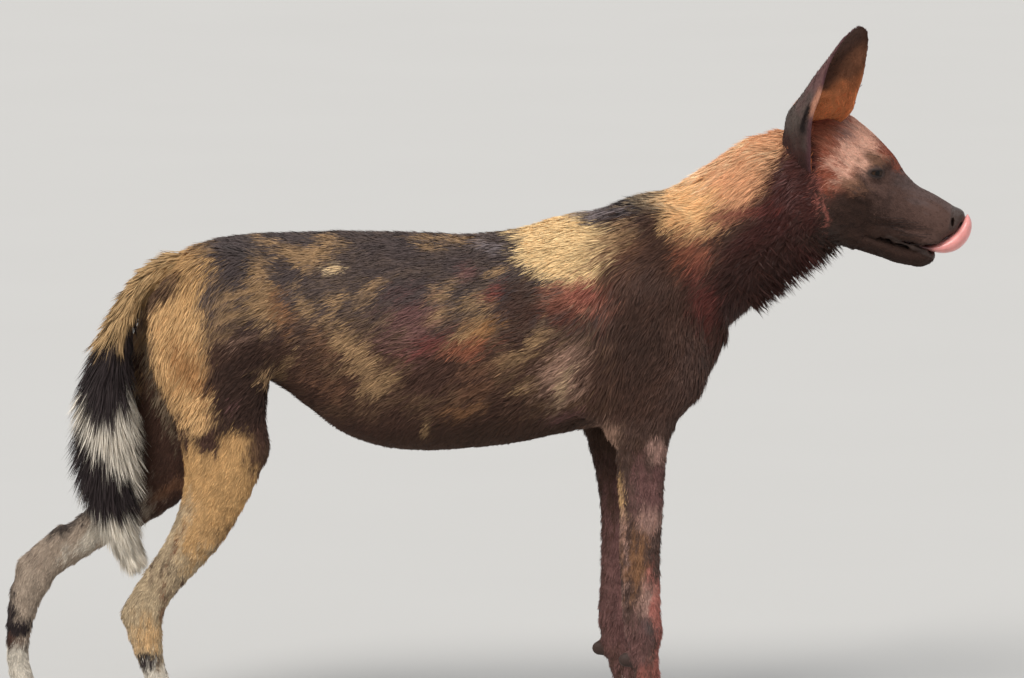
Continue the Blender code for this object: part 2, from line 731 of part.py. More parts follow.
def convex(planes, grow=0.0):
    """A closed body bounded by planes, each a point and an outward normal, within a large cube."""
    mesh = bmesh.new()
    bmesh.ops.create_cube(mesh, size=4.0)
    for point, normal in planes:
        normal = Vector(normal).normalized()
        place = Vector(point) + normal * grow
        geom = mesh.verts[:] + mesh.edges[:] + mesh.faces[:]
        cut = bmesh.ops.bisect_plane(mesh, geom=geom, plane_co=place, plane_no=normal, clear_outer=True)
        edges = [g for g in cut["geom_cut"] if isinstance(g, bmesh.types.BMEdge)]
        bmesh.ops.holes_fill(mesh, edges=edges)
    bmesh.ops.recalc_face_normals(mesh, faces=mesh.faces[:])
    data = bpy.data.meshes.new("region")
    mesh.to_mesh(data)
    mesh.free()
    obj = bpy.data.objects.new("region", data)
    bpy.context.scene.collection.objects.link(obj)
    return triangulated(obj)


def within(obj, planes, grow=0.0):
    region = convex(planes, grow)
    boolean(obj, region, "INTERSECT")
    drop(region)
    return obj


def without(obj, planes, grow=0.0):
    region = convex(planes, grow)
    boolean(obj, region, "DIFFERENCE")
    drop(region)
    return obj


def grown(obj, by=GAP):
    """A copy of the object with its surface moved out."""
    made = copy_of(obj, obj.name + "_grown")
    modifier = made.modifiers.new("Grow", "DISPLACE")
    modifier.strength, modifier.mid_level = by, 0.0
    return applied(made)


def trimmed(obj, *neighbours):
    """Cuts the object back so that it meets its neighbours face to face, a gap away."""
    for neighbour in neighbours:
        tool = grown(neighbour)
        boolean(obj, tool, "DIFFERENCE")
        drop(tool)
    return largest_only(obj)


FLOOR = ((0, 0, 0), (0, 0, -1))
NECK_BASE = ((0.262, 0, 0.610), (-0.905, 0, -0.425))
NECK_TOP = ((0.420, 0, 0.715), (0.955, 0, 0.297))


def flipped(plane):
    return (plane[0], tuple(-c for c in plane[1]))


def leg_region(name):
    """The planes that part a leg from the trunk: a slant, one across its front or back, the middle."""
    side = LIMBS[name][1]
    middle = ((0, side * GAP / 2, 0), (0, -side, 0))
    if name.startswith("hind"):
        slant = ((0, side * 0.004, 0.440), (0, -side * 0.175, 0.085))
        front = ((-0.262, 0, 0.455), (0.165, 0, 0.075))
        return (slant, front, middle)
    slant = ((0, side * 0.034, 0.405), (0, -side * 0.155, 0.070))
    back = ((0.138, 0, 0.400), (-0.98, 0, 0.20))
    return (slant, back, middle)


# Where the joints part a leg: point and normal towards the foot
LEG_CUTS = {
    "foreleg_right": (((0.204, 0, 0.392), (0, 0, -1)), ((0.205, 0, 0.122), (0.08, 0, -1))),
    "foreleg_left": (((0.177, 0, 0.392), (0, 0, -1)), ((0.170, 0, 0.122), (0.08, 0, -1))),
    "hindleg_right": (((-0.346, 0, 0.352), (-0.25, 0, -1)), ((-0.450, 0, 0.150), (0.15, 0, -1))),
    "hindleg_left": (((-0.414, 0, 0.345), (-0.75, 0, -1)), ((-0.607, 0, 0.180), (-0.25, 0, -1))),
}
LEG_PARTS = {"foreleg": ("upper_arm", "forearm", "forepaw"), "hindleg": ("thigh", "shank", "hindfoot")}
LEG_FINISH = {
    "foreleg": ("coat_dark", "coat_foreleg", "coat_foreleg"),
    "hindleg": ("coat_dark", "coat_leg", "coat_white"),
}


def flesh(name, kind, low, high, finish, **wanted):
    """The blended flesh within a box, thinned to its share of triangles."""
    step, faces = SAMPLING[kind]
    field = flesh_field(low, high, step, **wanted)
    return thinned(new_object(name, mesh_of(name, *surface_of(field)), finish), faces)


def build_torso():
    torso = flesh("torso", "torso", (-0.47, -0.13, 0.34), (0.36, 0.13, 0.75), "coat_dark")
    within(torso, (flipped(NECK_BASE),), -GAP / 2)
    for name in LIMBS:
        without(torso, leg_region(name), GAP)
    return largest_only(torso)


def build_neck():
    neck = flesh("neck", "neck", (0.18, -0.11, 0.46), (0.50, 0.11, 0.84), "coat_tan")
    with_locks(neck, throat_locks())
    within(neck, (NECK_BASE, NECK_TOP), -GAP / 2)
    for name in ("foreleg_right", "foreleg_left"):
        without(neck, leg_region(name), GAP)
    return largest_only(neck)


def build_head():
    low, high = (0.37, -0.10, 0.60), (0.66, 0.10, 0.86)
    head = flesh("head", "head", low, high, "coat_muzzle", with_legs=False)
    within(head, (flipped(NECK_TOP),), -GAP / 2)
    return largest_only(head)


def build_jaw(head):
    step, faces = SAMPLING["jaw"]
    field = Field((0.42, -0.06, 0.59), (0.61, 0.06, 0.70), step)
    field.combine(Loft(HEAD_ROOT, HEAD_PITCH, JAW, narrow=-0.10, end=0.0062), 0.0)
    jaw = thinned(new_object("jaw", mesh_of("jaw", *surface_of(field)), "coat_muzzle"), faces)
    return trimmed(jaw, head)


def build_leg(name):
    """The three nodes of one leg, each sampled on its own grid and cut at the joints' planes."""
    stations, side, _ = LIMBS[name]
    kind, where = name.split("_")
    upper_cut, lower_cut = LEG_CUTS[name]
    rows = np.asarray(stations)
    cuts = ((upper_cut,), (flipped(upper_cut), lower_cut), (flipped(lower_cut), FLOOR))
    heights = (
        (upper_cut[0][2] - 0.07, 0.66),
        (lower_cut[0][2] - 0.05, upper_cut[0][2] + 0.07),
        (-0.012, lower_cut[0][2] + 0.05),
    )
    parts = []
    for k, sampling in enumerate(("upper", "middle", "foot")):
        near = rows[(rows[:, 2] > heights[k][0] - 0.04) & (rows[:, 2] < heights[k][1] + 0.04)]
        low = (near[:, 0].min() - 0.11, min(0, side * 0.13), heights[k][0])
        high = (near[:, 0].max() + 0.11, max(0, side * 0.13), heights[k][1])
        label = LEG_PARTS[kind][k] + "_" + where
        part = flesh(label, sampling, low, high, LEG_FINISH[kind][k], with_head=False)
        if k < 2:
            within(part, leg_region(name))
        within(part, cuts[k], -GAP / 2)
        parts.append(largest_only(part))
    return parts


def ear_grid(side, count_up, count_round):
    """Rows from the ear's root to its tip, each from the inner margin round the back to the outer one."""
    rows = resampled([(r[1], r[2], r[0], r[3], r[4]) for r in EAR], count_up)
    opening = Vector((math.cos(EAR_TURN), side * math.sin(EAR_TURN), 0))
    across = Vector((math.sin(EAR_TURN), -side * math.cos(EAR_TURN), 0))
    root = Vector((0, side * EAR_ROOT[0], EAR_ROOT[1]))
    lean = Matrix.Rotation(-side * EAR_LEAN[side], 3, "X")
    grid = []
    for i, (x, out, up, wide, deep) in enumerate(rows):
        share = i / (count_up - 1)
        sweep = math.radians(112 - 30 * share)
        row = []
        for j in range(count_round):
            angle = -sweep + 2 * sweep * j / (count_round - 1)
            offset = across * (-wide * math.sin(angle)) - opening * (deep * math.cos(angle))
            offset *= EAR_SIZE[side]
            place = Vector((x + EAR_SHIFT[side], side * out, up * EAR_HEIGHT[side]))
            row.append(root + lean @ (place + offset))
        grid.append(row)
    return grid


def sheet_solid(grid, thickness):
    """A closed sheet with this grid as its outer face and its inner face this far inside."""
    rows, columns = len(grid), len(grid[0])
    inner = []
    for i in range(rows):
        line = []
        for j in range(columns):
            up = grid[min(i + 1, rows - 1)][j] - grid[max(i - 1, 0)][j]
            along = grid[i][min(j + 1, columns - 1)] - grid[i][max(j - 1, 0)]
            normal = along.cross(up)
            edge = min(j, columns - 1 - j, rows - 1 - i)
            thin = thickness * (0.55 if edge == 0 else 1.0)
            line.append(grid[i][j] - normal.normalized() * thin)
        inner.append(line)
    points = [p for row in grid for p in row] + [p for row in inner for p in row]
    size = rows * columns

    def at(i, j, layer):
        return layer * size + i * columns + j

    faces = []
    for i in range(rows - 1):
        for j in range(columns - 1):
            faces.append((at(i, j, 0), at(i, j + 1, 0), at(i + 1, j + 1, 0), at(i + 1, j, 0)))
            faces.append((at(i, j, 1), at(i + 1, j, 1), at(i + 1, j + 1, 1), at(i, j + 1, 1)))
    rim = [(0, j) for j in range(columns)]
    rim += [(i, columns - 1) for i in range(1, rows)]
    rim += [(rows - 1, j) for j in range(columns - 2, -1, -1)]
    rim += [(i, 0) for i in range(rows - 2, 0, -1)]
    for (a, b), (c, d) in zip(rim, rim[1:] + rim[:1]):
        faces.append((at(a, b, 0), at(a, b, 1), at(c, d, 1), at(c, d, 0)))
    return points, faces


def outward(obj):
    mesh = bmesh.new()
    mesh.from_mesh(obj.data)
    bmesh.ops.triangulate(mesh, faces=mesh.faces[:])
    bmesh.ops.recalc_face_normals(mesh, faces=mesh.faces[:])
    if volume_of(mesh) < 0:
        bmesh.ops.reverse_faces(mesh, faces=mesh.faces[:])
    mesh.to_mesh(obj.data)
    mesh.free()
    return obj


def build_ear(side, head, neck):
    name = "ear_left" if side > 0 else "ear_right"
    points, faces = sheet_solid(ear_grid(side, 14, 8), EAR_THICKNESS)
    ear = outward(new_object(name, mesh_of(name, points, faces), "ear_skin"))
    return trimmed(ear, head, neck)


def tube_solid(rings):
    """A closed tube through rings of points, with a point at each end."""
    around = len(rings[0])
    points = [p for ring in rings for p in ring]
    first, last = len(points), len(points) + 1
    points.append(sum(rings[0], Vector()) / around)
    points.append(sum(rings[-1], Vector()) / around)
    faces = []
    for i in range(len(rings) - 1):
        for j in range(around):
            k = (j + 1) % around
            faces.append((i * around + j, i * around + k, (i + 1) * around + k, (i + 1) * around + j))
    base = (len(rings) - 1) * around
    for j in range(around):
        k = (j + 1) % around
        faces.append((first, k, j))
        faces.append((last, base + j, base + k))
    return points, faces


def ellipse_ring(centre, side, out, deep, wide, count):
    ring = []
    for j in range(count):
        angle = 2 * math.pi * j / count
        ring.append(centre + side * (deep * math.cos(angle)) + out * (wide * math.sin(angle)))
    return ring


def build_tongue(head, jaw):
    rows = resampled([(x, 0.0, z, deep, wide) for x, z, deep, wide in TONGUE], 11)
    rings = []
    for i, (x, _, z, deep, wide) in enumerate(rows):
        before, after = rows[max(i - 1, 0)], rows[min(i + 1, len(rows) - 1)]
        line = Vector((after[0] - before[0], 0, after[2] - before[2])).normalized()
        side = Vector((-line.z, 0, line.x))
        rings.append(ellipse_ring(Vector((x, 0, z)), side, Vector((0, 1, 0)), deep, wide, 10))
    points, faces = tube_solid(rings)
    tongue = outward(new_object("tongue", mesh_of("tongue", points, faces), "tongue"))
    return trimmed(tongue, head, jaw)


def build_eye(side, head):
    name = "eye_left" if side > 0 else "eye_right"
    mesh = bmesh.new()
    bmesh.ops.create_uvsphere(mesh, u_segments=12, v_segments=7, radius=EYE_RADIUS)
    bmesh.ops.translate(mesh, verts=mesh.verts[:], vec=head_point(*EYE_AT, side))
    data = bpy.data.meshes.new(name)
    mesh.to_mesh(data)
    mesh.free()
    eye = outward(new_object(name, data, "eye"))
    socket = grown(eye)
    boolean(head, socket, "DIFFERENCE")
    drop(socket)
    return eye


def build_claws(name, foot):
    """Four blunt curved claws, each from the tip of its toe."""
    x, y, size = FEET[name]
    claws = []
    for number, (out, reach) in enumerate(TOES):
        root = Vector((x + (reach + 0.002) * size, y + 1.08 * out * size, 0.0165 * size))
        rings = []
        for i in range(4):
            share = i / 3
            fall = 0.010 * share * share
            centre = root + Vector((0.0175 * share, out * 0.12 * share, 0.0010 - fall))
            tilt = -math.atan2(0.020 * share, 0.0175)
            side = Vector((-math.sin(tilt), 0, math.cos(tilt)))
            deep, wide = 0.0036 * (1 - 0.75 * share), 0.0026 * (1 - 0.72 * share)
            rings.append(ellipse_ring(centre, side, Vector((0, 1, 0)), deep, wide, 5))
        label = "claw_" + name + "_" + str(number + 1)
        claw = outward(new_object(label, mesh_of(label, *tube_solid(rings)), "claw"))
        claws.append(trimmed(claw, foot))
    return claws


def lock(root, way, flat, length, width, thick, bend):
    """A flat tapered lock of hair: diamond sections along a bent line, pointed at its tip."""
    way, across = way.normalized(), way.cross(flat).normalized()
    flat = across.cross(way).normalized()
    points, faces = [], []
    for i, (w, t) in enumerate(((0.8, 1.0), (1.0, 1.0), (0.72, 0.7))):
        share = i / 3
        centre = root + way * (length * share) + bend * (length * share * share)
        points += [centre + across * (width * w / 2), centre + flat * (thick * t / 2)]
        points += [centre - across * (width * w / 2), centre - flat * (thick * t / 2)]
    points.append(root + way * length + bend * length)
    for i in range(2):
        for j in range(4):
            k = (j + 1) % 4
            faces.append((i * 4 + j, i * 4 + k, i * 4 + 4 + k, i * 4 + 4 + j))
    faces += [(3, 2, 1, 0)] + [(8 + j, 8 + (j + 1) % 4, 12) for j in range(4)]
    return points, faces


def with_locks(obj, locks):
    """Joins the locks to the object in one union."""
    group = bpy.data.collections.new("locks")
    bpy.context.scene.collection.children.link(group)
    for points, faces in locks:
        mesh = mesh_of("lock", points, faces)
        piece = bpy.data.objects.new("lock", mesh)
        group.objects.link(piece)
        outward(piece)
    modifier = obj.modifiers.new("Locks", "BOOLEAN")
    modifier.operation, modifier.solver = "UNION", "MANIFOLD"
    modifier.operand_type, modifier.collection = "COLLECTION", group
    applied(obj)
    drop(*group.objects)
    bpy.data.collections.remove(group)
    return largest_only(obj)


def tail_locks(rows):
    """Shingled locks round the tail, each hanging along it and standing out to the brush's reach."""
    rng = random.Random(5)
    locks = []
    for level, i in enumerate((11, 14, 16, 18, 20, 22, 24, 26, 29)):
        x, _, z, core, reach = rows[i]
        line = Vector(rows[i + 1][:3] - rows[i - 1][:3]).normalized()
        fore = Vector((0, 1, 0)).cross(line).normalized()
        ahead = min(i + 5, len(rows) - 1)
        count = 7 if i < 25 else 5
        for j in range(count):
            angle = 2 * math.pi * (j + 0.5 * (level % 2) + rng.uniform(-0.12, 0.12)) / count
            radial = fore * math.cos(angle) + Vector((0, 1, 0)) * (0.9 * math.sin(angle))
            root = Vector((x, 0, z)) + radial * (core * 0.45)
            tip = Vector(rows[ahead][:3]) + radial * (rows[ahead][4] * rng.uniform(0.86, 1.12))
            way = tip - root
            length = way.length * rng.uniform(0.94, 1.06)
            locks.append(
                lock(root, way, radial, length, core * 0.68, 0.0054, radial * -0.10 + line * 0.06)
            )
    return locks


def throat_locks():
    """Wet, short locks that hang forward from the underside of the neck."""
    rng = random.Random(11)
    neck = Loft(NECK_ROOT, NECK_PITCH, NECK)
    locks = []
    for level in range(9):
        along = 0.086 + 0.0150 * level
        top, bottom, half = (through(neck.rows[:, 0], neck.rows[:, k], along) for k in (1, 2, 3))
        for j in range(-2, 3):
            if (level + j) % 2 and abs(j) < 2:
                continue
            turn = math.radians(20 * j + rng.uniform(-6, 6))
            here = along + rng.uniform(-0.004, 0.004)
            x, z = neck.place(here, (top + bottom) / 2 - (top - bottom) / 2 * math.cos(turn))
            way = Vector((0.42 + rng.uniform(-0.12, 0.12), math.sin(turn) * 0.45, -0.9)).normalized()
            root = Vector((x, half * math.sin(turn), z)) - way * 0.011
            length = 0.011 + rng.uniform(0.014, 0.024) * (1.0 - 0.25 * abs(j) / 2)
            flat = Vector((0, 1, 0)) if j % 2 else Vector((0.7, 0.7, 0))
            bend = Vector((rng.uniform(-0.1, 0.15), 0, -0.05))
            locks.append(lock(root, way, flat, length, 0.0085, 0.0045, bend))
    return locks


def tail_rows():
    return resampled([(x, 0.0, z, core, reach) for x, z, core, reach in TAIL], 34)


def build_tail(torso):
    """The tail's root, its brush and its tip: a core with locks, cut across by two planes."""
    rows = tail_rows()
    step, faces = SAMPLING["tail"]
    field = Field((-0.56, -0.05, 0.18), (-0.36, 0.05, 0.68), step)
    for a, b in zip(rows[:-1], rows[1:]):
        field.combine(Stretch((*a[:4], a[3] * 0.9), (*b[:4], b[3] * 0.9)), 0.002)
    tail = thinned(new_object("tail", mesh_of("tail", *surface_of(field)), "coat_tan"), faces)
    with_locks(tail, tail_locks(rows))
    planes = [(tuple(rows[i][:3]), tuple(rows[i + 1][:3] - rows[i - 1][:3])) for i in TAIL_CUTS]
    parts = (
        ("tail_root", "coat_tan", planes[:1]),
        ("tail_brush", "coat_dark", (flipped(planes[0]), planes[1])),
        ("tail_tip", "coat_white", (flipped(planes[1]),)),
    )
    nodes = []
    for name, finish, cut in parts:
        node = copy_of(tail, name)
        within(node, cut, -GAP / 2)
        node.data.materials.clear()
        node.data.materials.append(material(finish))
        nodes.append(largest_only(node))
    drop(tail)
    trimmed(nodes[0], torso)


def main():
    clear_scene()
    torso = build_torso()
    neck = build_neck()
    head = build_head()
    jaw = build_jaw(head)
    for side in (-1, 1):
        build_eye(side, head)
    for side in (-1, 1):
        build_ear(side, head, neck)
    build_tongue(head, jaw)
    for name in LIMBS:
        parts = build_leg(name)
        build_claws(name, parts[2])
    build_tail(torso)
    for obj in bpy.data.objects:
        obj.location = -Vector(CENTRE)
        smooth(obj)


main()
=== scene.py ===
"""Looks of a life-size model of an african wild dog, standing and licking its nose.

Metres, +Z up, +X towards the nose, +Y to the animal's left. One skin lies a
coat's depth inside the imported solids. Tufts of solid blades cover it and
follow the lie of the coat. Skin and tufts take their markings from one
function of place, in the animal's own frame.
"""

import math

import bmesh
import bpy
import numpy as np
from mathutils import Matrix, Vector


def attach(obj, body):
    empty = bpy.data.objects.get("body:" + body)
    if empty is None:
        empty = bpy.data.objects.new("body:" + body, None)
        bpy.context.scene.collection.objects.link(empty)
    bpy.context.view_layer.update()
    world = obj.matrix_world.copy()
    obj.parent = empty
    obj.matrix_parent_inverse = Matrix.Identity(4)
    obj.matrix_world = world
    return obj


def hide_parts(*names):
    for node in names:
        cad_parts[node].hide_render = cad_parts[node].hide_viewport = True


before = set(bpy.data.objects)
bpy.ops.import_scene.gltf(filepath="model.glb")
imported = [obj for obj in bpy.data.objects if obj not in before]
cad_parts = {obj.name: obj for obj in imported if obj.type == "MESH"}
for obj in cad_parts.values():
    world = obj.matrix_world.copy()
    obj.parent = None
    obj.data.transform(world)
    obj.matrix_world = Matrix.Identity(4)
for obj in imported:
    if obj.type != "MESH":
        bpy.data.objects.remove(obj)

# The middle of the model's box on the floor, in the animal's own frame
CENTRE = (0.0, 0.020, 0.0)
FAR = 1.0
# How deep the skin lies under the outline of the coat
DEPTH = {"trunk": 0.0040, "neck": 0.0065, "head": 0.0012, "leg": 0.0022, "foot": 0.0012}
# Lines across the body in the middle plane, where the head and the neck start: a point and a normal
HEAD_LINE = ((0.420, 0.715), (0.955, 0.297))
NECK_LINE = ((0.262, 0.610), (0.905, 0.425))

# The trunk's sections: place along X, top, bottom, half width
TRUNK = (
    (-0.425, 0.606, 0.545, 0.034), (-0.4, 0.634, 0.515, 0.054), (-0.36, 0.65, 0.492, 0.069),
    (-0.31, 0.658, 0.475, 0.074), (-0.265, 0.66, 0.451, 0.074), (-0.23, 0.661, 0.424, 0.077),
    (-0.195, 0.662, 0.398, 0.084), (-0.142, 0.661, 0.377, 0.094), (-0.089, 0.66, 0.371, 0.101),
    (-0.024, 0.658, 0.374, 0.105), (0.042, 0.666, 0.382, 0.104), (0.095, 0.681, 0.393, 0.099),
    (0.147, 0.69, 0.403, 0.093), (0.2, 0.7, 0.412, 0.085), (0.24, 0.69, 0.43, 0.074),
    (0.272, 0.66, 0.46, 0.058), (0.284, 0.62, 0.505, 0.04),
)
# The neck's sections, along an axis that climbs from the shoulders
NECK_ROOT = (0.20, 0.60)
NECK_PITCH = math.radians(35)
NECK = (
    (0.0, 0.07, -0.12, 0.078), (0.04, 0.074, -0.121, 0.078), (0.08, 0.074, -0.116, 0.076),
    (0.12, 0.073, -0.112, 0.073), (0.16, 0.072, -0.11, 0.07), (0.195, 0.071, -0.11, 0.068),
    (0.23, 0.067, -0.106, 0.065), (0.255, 0.058, -0.092, 0.058),
)
# The head's sections, along an axis that falls from between the ears to the nose
HEAD_ROOT = (0.43, 0.735)
HEAD_PITCH = math.radians(-25)
SKULL = (
    (-0.03, 0.07, -0.045, 0.048), (0.0, 0.09, -0.06, 0.057), (0.03, 0.0865, -0.067, 0.06),
    (0.06, 0.077, -0.064, 0.057), (0.085, 0.066, -0.052, 0.05), (0.105, 0.053, -0.038, 0.042),
    (0.126, 0.045, -0.027, 0.035), (0.146, 0.0435, -0.024, 0.031), (0.166, 0.0417, -0.0205, 0.029),
    (0.183, 0.0395, -0.0125, 0.0255), (0.193, 0.037, 0.002, 0.021),
)
# The jaw's sections along the same axis: the part behind the mouth, and the part that opens
JAW_REAR = (
    (0.01, -0.03, -0.0665, 0.042), (0.045, -0.028, -0.071, 0.044), (0.086, -0.028, -0.069, 0.0395),
)
JAW = (
    (0.06, -0.034, -0.07, 0.036), (0.1, -0.0335, -0.0655, 0.036), (0.124, -0.0325, -0.0625, 0.03),
    (0.146, -0.031, -0.0605, 0.0255), (0.166, -0.03, -0.0545, 0.0215), (0.177, -0.028, -0.048, 0.017),
    (0.183, -0.0255, -0.04, 0.0125),
)
EYE_RADIUS = 0.0112
EYE_AT = (0.0645, 0.0388, 0.0395)  # along the head, up from its axis, out to the side
EYE_LOOK = (0.42, 0.10, 0.90)
NOSTRIL_AT = (0.1955, 0.0215, 0.0105)

# Limb sections: x, y out from the middle, z, half depth seen from the side, half width
NEAR_FORELEG = (
    (0.222, 0.058, 0.52, 0.05, 0.03), (0.214, 0.06, 0.45, 0.046, 0.031), (0.203, 0.058, 0.4, 0.037, 0.026),
    (0.201, 0.056, 0.345, 0.032, 0.02), (0.201, 0.053, 0.29, 0.029, 0.018),
    (0.1995, 0.051, 0.24, 0.0278, 0.0165), (0.201, 0.049, 0.19, 0.0265, 0.0165),
    (0.203, 0.048, 0.14, 0.0245, 0.018), (0.206, 0.048, 0.108, 0.0195, 0.017),
    (0.211, 0.049, 0.07, 0.017, 0.0175), (0.219, 0.05, 0.042, 0.017, 0.022),
)
FAR_FORELEG = (
    (0.205, 0.058, 0.52, 0.05, 0.03), (0.184, 0.06, 0.45, 0.0505, 0.031),
    (0.1715, 0.058, 0.4, 0.046, 0.026), (0.172, 0.056, 0.345, 0.0325, 0.02),
    (0.175, 0.053, 0.29, 0.027, 0.018), (0.175, 0.051, 0.24, 0.0262, 0.0165),
    (0.173, 0.049, 0.19, 0.025, 0.0165), (0.169, 0.048, 0.14, 0.0235, 0.018),
    (0.17, 0.048, 0.108, 0.019, 0.017), (0.18, 0.049, 0.07, 0.017, 0.0175),
    (0.19, 0.05, 0.042, 0.017, 0.022),
)
NEAR_HINDLEG = (
    (-0.352, 0.046, 0.56, 0.072, 0.03), (-0.352, 0.049, 0.49, 0.07, 0.034),
    (-0.35, 0.052, 0.425, 0.06, 0.032), (-0.346, 0.054, 0.375, 0.055, 0.029),
    (-0.358, 0.056, 0.32, 0.043, 0.025), (-0.383, 0.056, 0.265, 0.034, 0.021),
    (-0.412, 0.055, 0.225, 0.0275, 0.017), (-0.44, 0.054, 0.188, 0.025, 0.0155),
    (-0.453, 0.053, 0.16, 0.026, 0.0165), (-0.45, 0.052, 0.13, 0.023, 0.0155),
    (-0.443, 0.052, 0.098, 0.017, 0.0145), (-0.433, 0.053, 0.068, 0.0155, 0.016),
    (-0.424, 0.054, 0.042, 0.016, 0.021),
)
FAR_HINDLEG = (
    (-0.372, 0.046, 0.56, 0.078, 0.03), (-0.398, 0.049, 0.48, 0.078, 0.034),
    (-0.41, 0.052, 0.41, 0.068, 0.032), (-0.421, 0.054, 0.352, 0.052, 0.029),
    (-0.457, 0.056, 0.306, 0.0385, 0.025), (-0.503, 0.057, 0.272, 0.0295, 0.02),
    (-0.55, 0.057, 0.238, 0.025, 0.017), (-0.592, 0.056, 0.208, 0.024, 0.0155),
    (-0.61, 0.055, 0.178, 0.0235, 0.0165), (-0.619, 0.055, 0.145, 0.0195, 0.015),
    (-0.624, 0.055, 0.108, 0.016, 0.0145), (-0.623, 0.055, 0.074, 0.015, 0.016),
    (-0.615, 0.056, 0.046, 0.0155, 0.021),
)
# Ear sections: place above the root, x, out, half width, depth
EAR = (
    (-0.052, 0.4275, -0.014, 0.018, 0.03), (-0.026, 0.43, -0.006, 0.028, 0.046),
    (0.003, 0.4332, 0.0, 0.036, 0.0575), (0.0255, 0.4377, 0.0, 0.04, 0.0585),
    (0.0517, 0.4424, 0.0, 0.043, 0.058), (0.0751, 0.4494, 0.0, 0.044, 0.048),
    (0.0999, 0.4592, 0.0, 0.043, 0.0415), (0.1207, 0.4649, 0.0, 0.0415, 0.033),
    (0.1427, 0.4696, 0.0, 0.039, 0.02), (0.1635, 0.475, 0.0, 0.0315, 0.011),
    (0.1774, 0.4784, 0.0, 0.0215, 0.0055), (0.185, 0.4806, 0.0, 0.0095, 0.003),
)
EAR_ROOT = (0.046, 0.765)
EAR_LEAN = {-1: math.radians(16), 1: math.radians(38)}
EAR_TURN = math.radians(43)
EAR_SIZE = {-1: 1.0, 1: 0.88}
EAR_HEIGHT = {-1: 0.966, 1: 0.940}
EAR_SHIFT = {-1: 0.0, 1: 0.006}
# The tail's line: x, z, half width of the dense coat, reach of the locks
TAIL = (
    (-0.385, 0.622, 0.026, 0.03), (-0.425, 0.612, 0.023, 0.027), (-0.456, 0.588, 0.02, 0.024),
    (-0.478, 0.55, 0.019, 0.024), (-0.494, 0.505, 0.021, 0.034), (-0.502, 0.45, 0.024, 0.048),
    (-0.503, 0.395, 0.027, 0.058), (-0.502, 0.34, 0.027, 0.058), (-0.497, 0.296, 0.022, 0.051),
    (-0.481, 0.255, 0.014, 0.034), (-0.464, 0.218, 0.008, 0.019),
)
# The tongue's line: x, z, half thickness, half width
TONGUE = (
    (0.5336, 0.6543, 0.0024, 0.017), (0.5508, 0.6486, 0.0034, 0.017), (0.5696, 0.6417, 0.0044, 0.0165),
    (0.5829, 0.6395, 0.0052, 0.017), (0.596, 0.6405, 0.0088, 0.018), (0.6098, 0.6458, 0.0114, 0.019),
    (0.6197, 0.6547, 0.0114, 0.0185), (0.6264, 0.6654, 0.0092, 0.017), (0.629, 0.675, 0.0064, 0.0135),
    (0.63, 0.683, 0.0032, 0.008),
)

# The skin's half width on the tail, as a share of its dense coat's, and the tail's length
TAIL_CORE = 0.55
TAIL_LENGTH = 0.47
# How far beyond a shape its distances are worked out
REACH = 0.009
# The box that a leg is built in: its margin before, behind, above and below, and its ends inwards and outwards
LEG_MARGIN = 0.110
LEG_INNER, LEG_OUTER = 0.020, 0.125
# Lines on the head, each point along its axis, up from it and out to the side: the cheek's arch and the lips
ARCH = (
    (0.088, 0.01, 0.04), (0.05, 0.01, 0.054), (0.005, 0.014, 0.054),
)
LIP = (
    (0.098, -0.03, 0.034), (0.114, -0.0275, 0.0318), (0.13, -0.024, 0.0298), (0.16, -0.017, 0.0255),
    (0.18, -0.008, 0.019),
)
LOWER_LIP = (
    (0.112, -0.0325, 0.031), (0.13, -0.031, 0.0268), (0.155, -0.0298, 0.0215), (0.174, -0.0285, 0.0135),
)
# The ears' skin: points up and round it, and its thickness
EAR_UP, EAR_ROUND, EAR_SKIN = 72, 48, 0.0022
# The coat: lengths and widths of its tufts by region, and what some places add to the length
LENGTH = {"trunk": 0.0170, "neck": 0.0250, "head": 0.0040, "leg": 0.0075, "foot": 0.0050}
WIDTH = {"trunk": 0.0014, "neck": 0.0012, "head": 0.0008, "leg": 0.0009, "foot": 0.0009}
LONGER = {"back_of_head": 0.0060, "rump": 0.0060, "elbow": 0.0100}
# How much shorter the throat's coat is, between the locks of its fringe
SHORTER_THROAT = 0.011
# Tufts in each piece of the coat
TUFTS = {
    "head": 62000, "neck": 64000, "flank": 45000, "forelegs": 46000, "hindlegs": 46000,
    "tail": 26000, "ear_back": 7000, "ear_inside": 5000,
}
# Locks of the throat's fringe, and tufts to a lock
FRINGE = (1000, 5)
# The size of the clumps that tufts lean into, how far a tuft strays, and how far it turns about its own line
CLUMP = 0.008
STRAY = 0.10
ROLL = 0.45
# How dark a tuft is at its root, partly the hair's own darker base and partly painted shade among the roots, and the
# skin next to the coat, darkened as painted shade under it
ROOT_SHADE = 0.70
SKIN_SHADE = 0.75
# The size of a tuft's patch on its map
PATCH = 0.003
# How far the outlines of the markings wander
WOBBLE = 0.007
# The slope of the coat's streaks in degrees, by region
STREAK = {"body": 34.0, "head": -25.0, "leg": 84.0}
# A tuft's width at each level as a share of its widest, by the number of its levels
TAPER = {2: (0.85, 0.80, 0.0), 3: (0.80, 1.0, 0.65, 0.0)}
# The nodes of flesh that the skin stands for
FLESH = ["torso", "neck", "head", "jaw", "ear_left", "ear_right", "tail_root", "tail_brush", "tail_tip"]
FLESH += [part + "_" + side for part in ("upper_arm", "forearm", "forepaw", "thigh", "shank", "hindfoot")
          for side in ("left", "right")]
# The camera: elevation in degrees, distance, and what it sees from side to side at that distance
VIEW = {"elevation": 7.0, "distance": 12.0, "width": 1.347, "target_x": 0.0316, "target_z": 0.518}
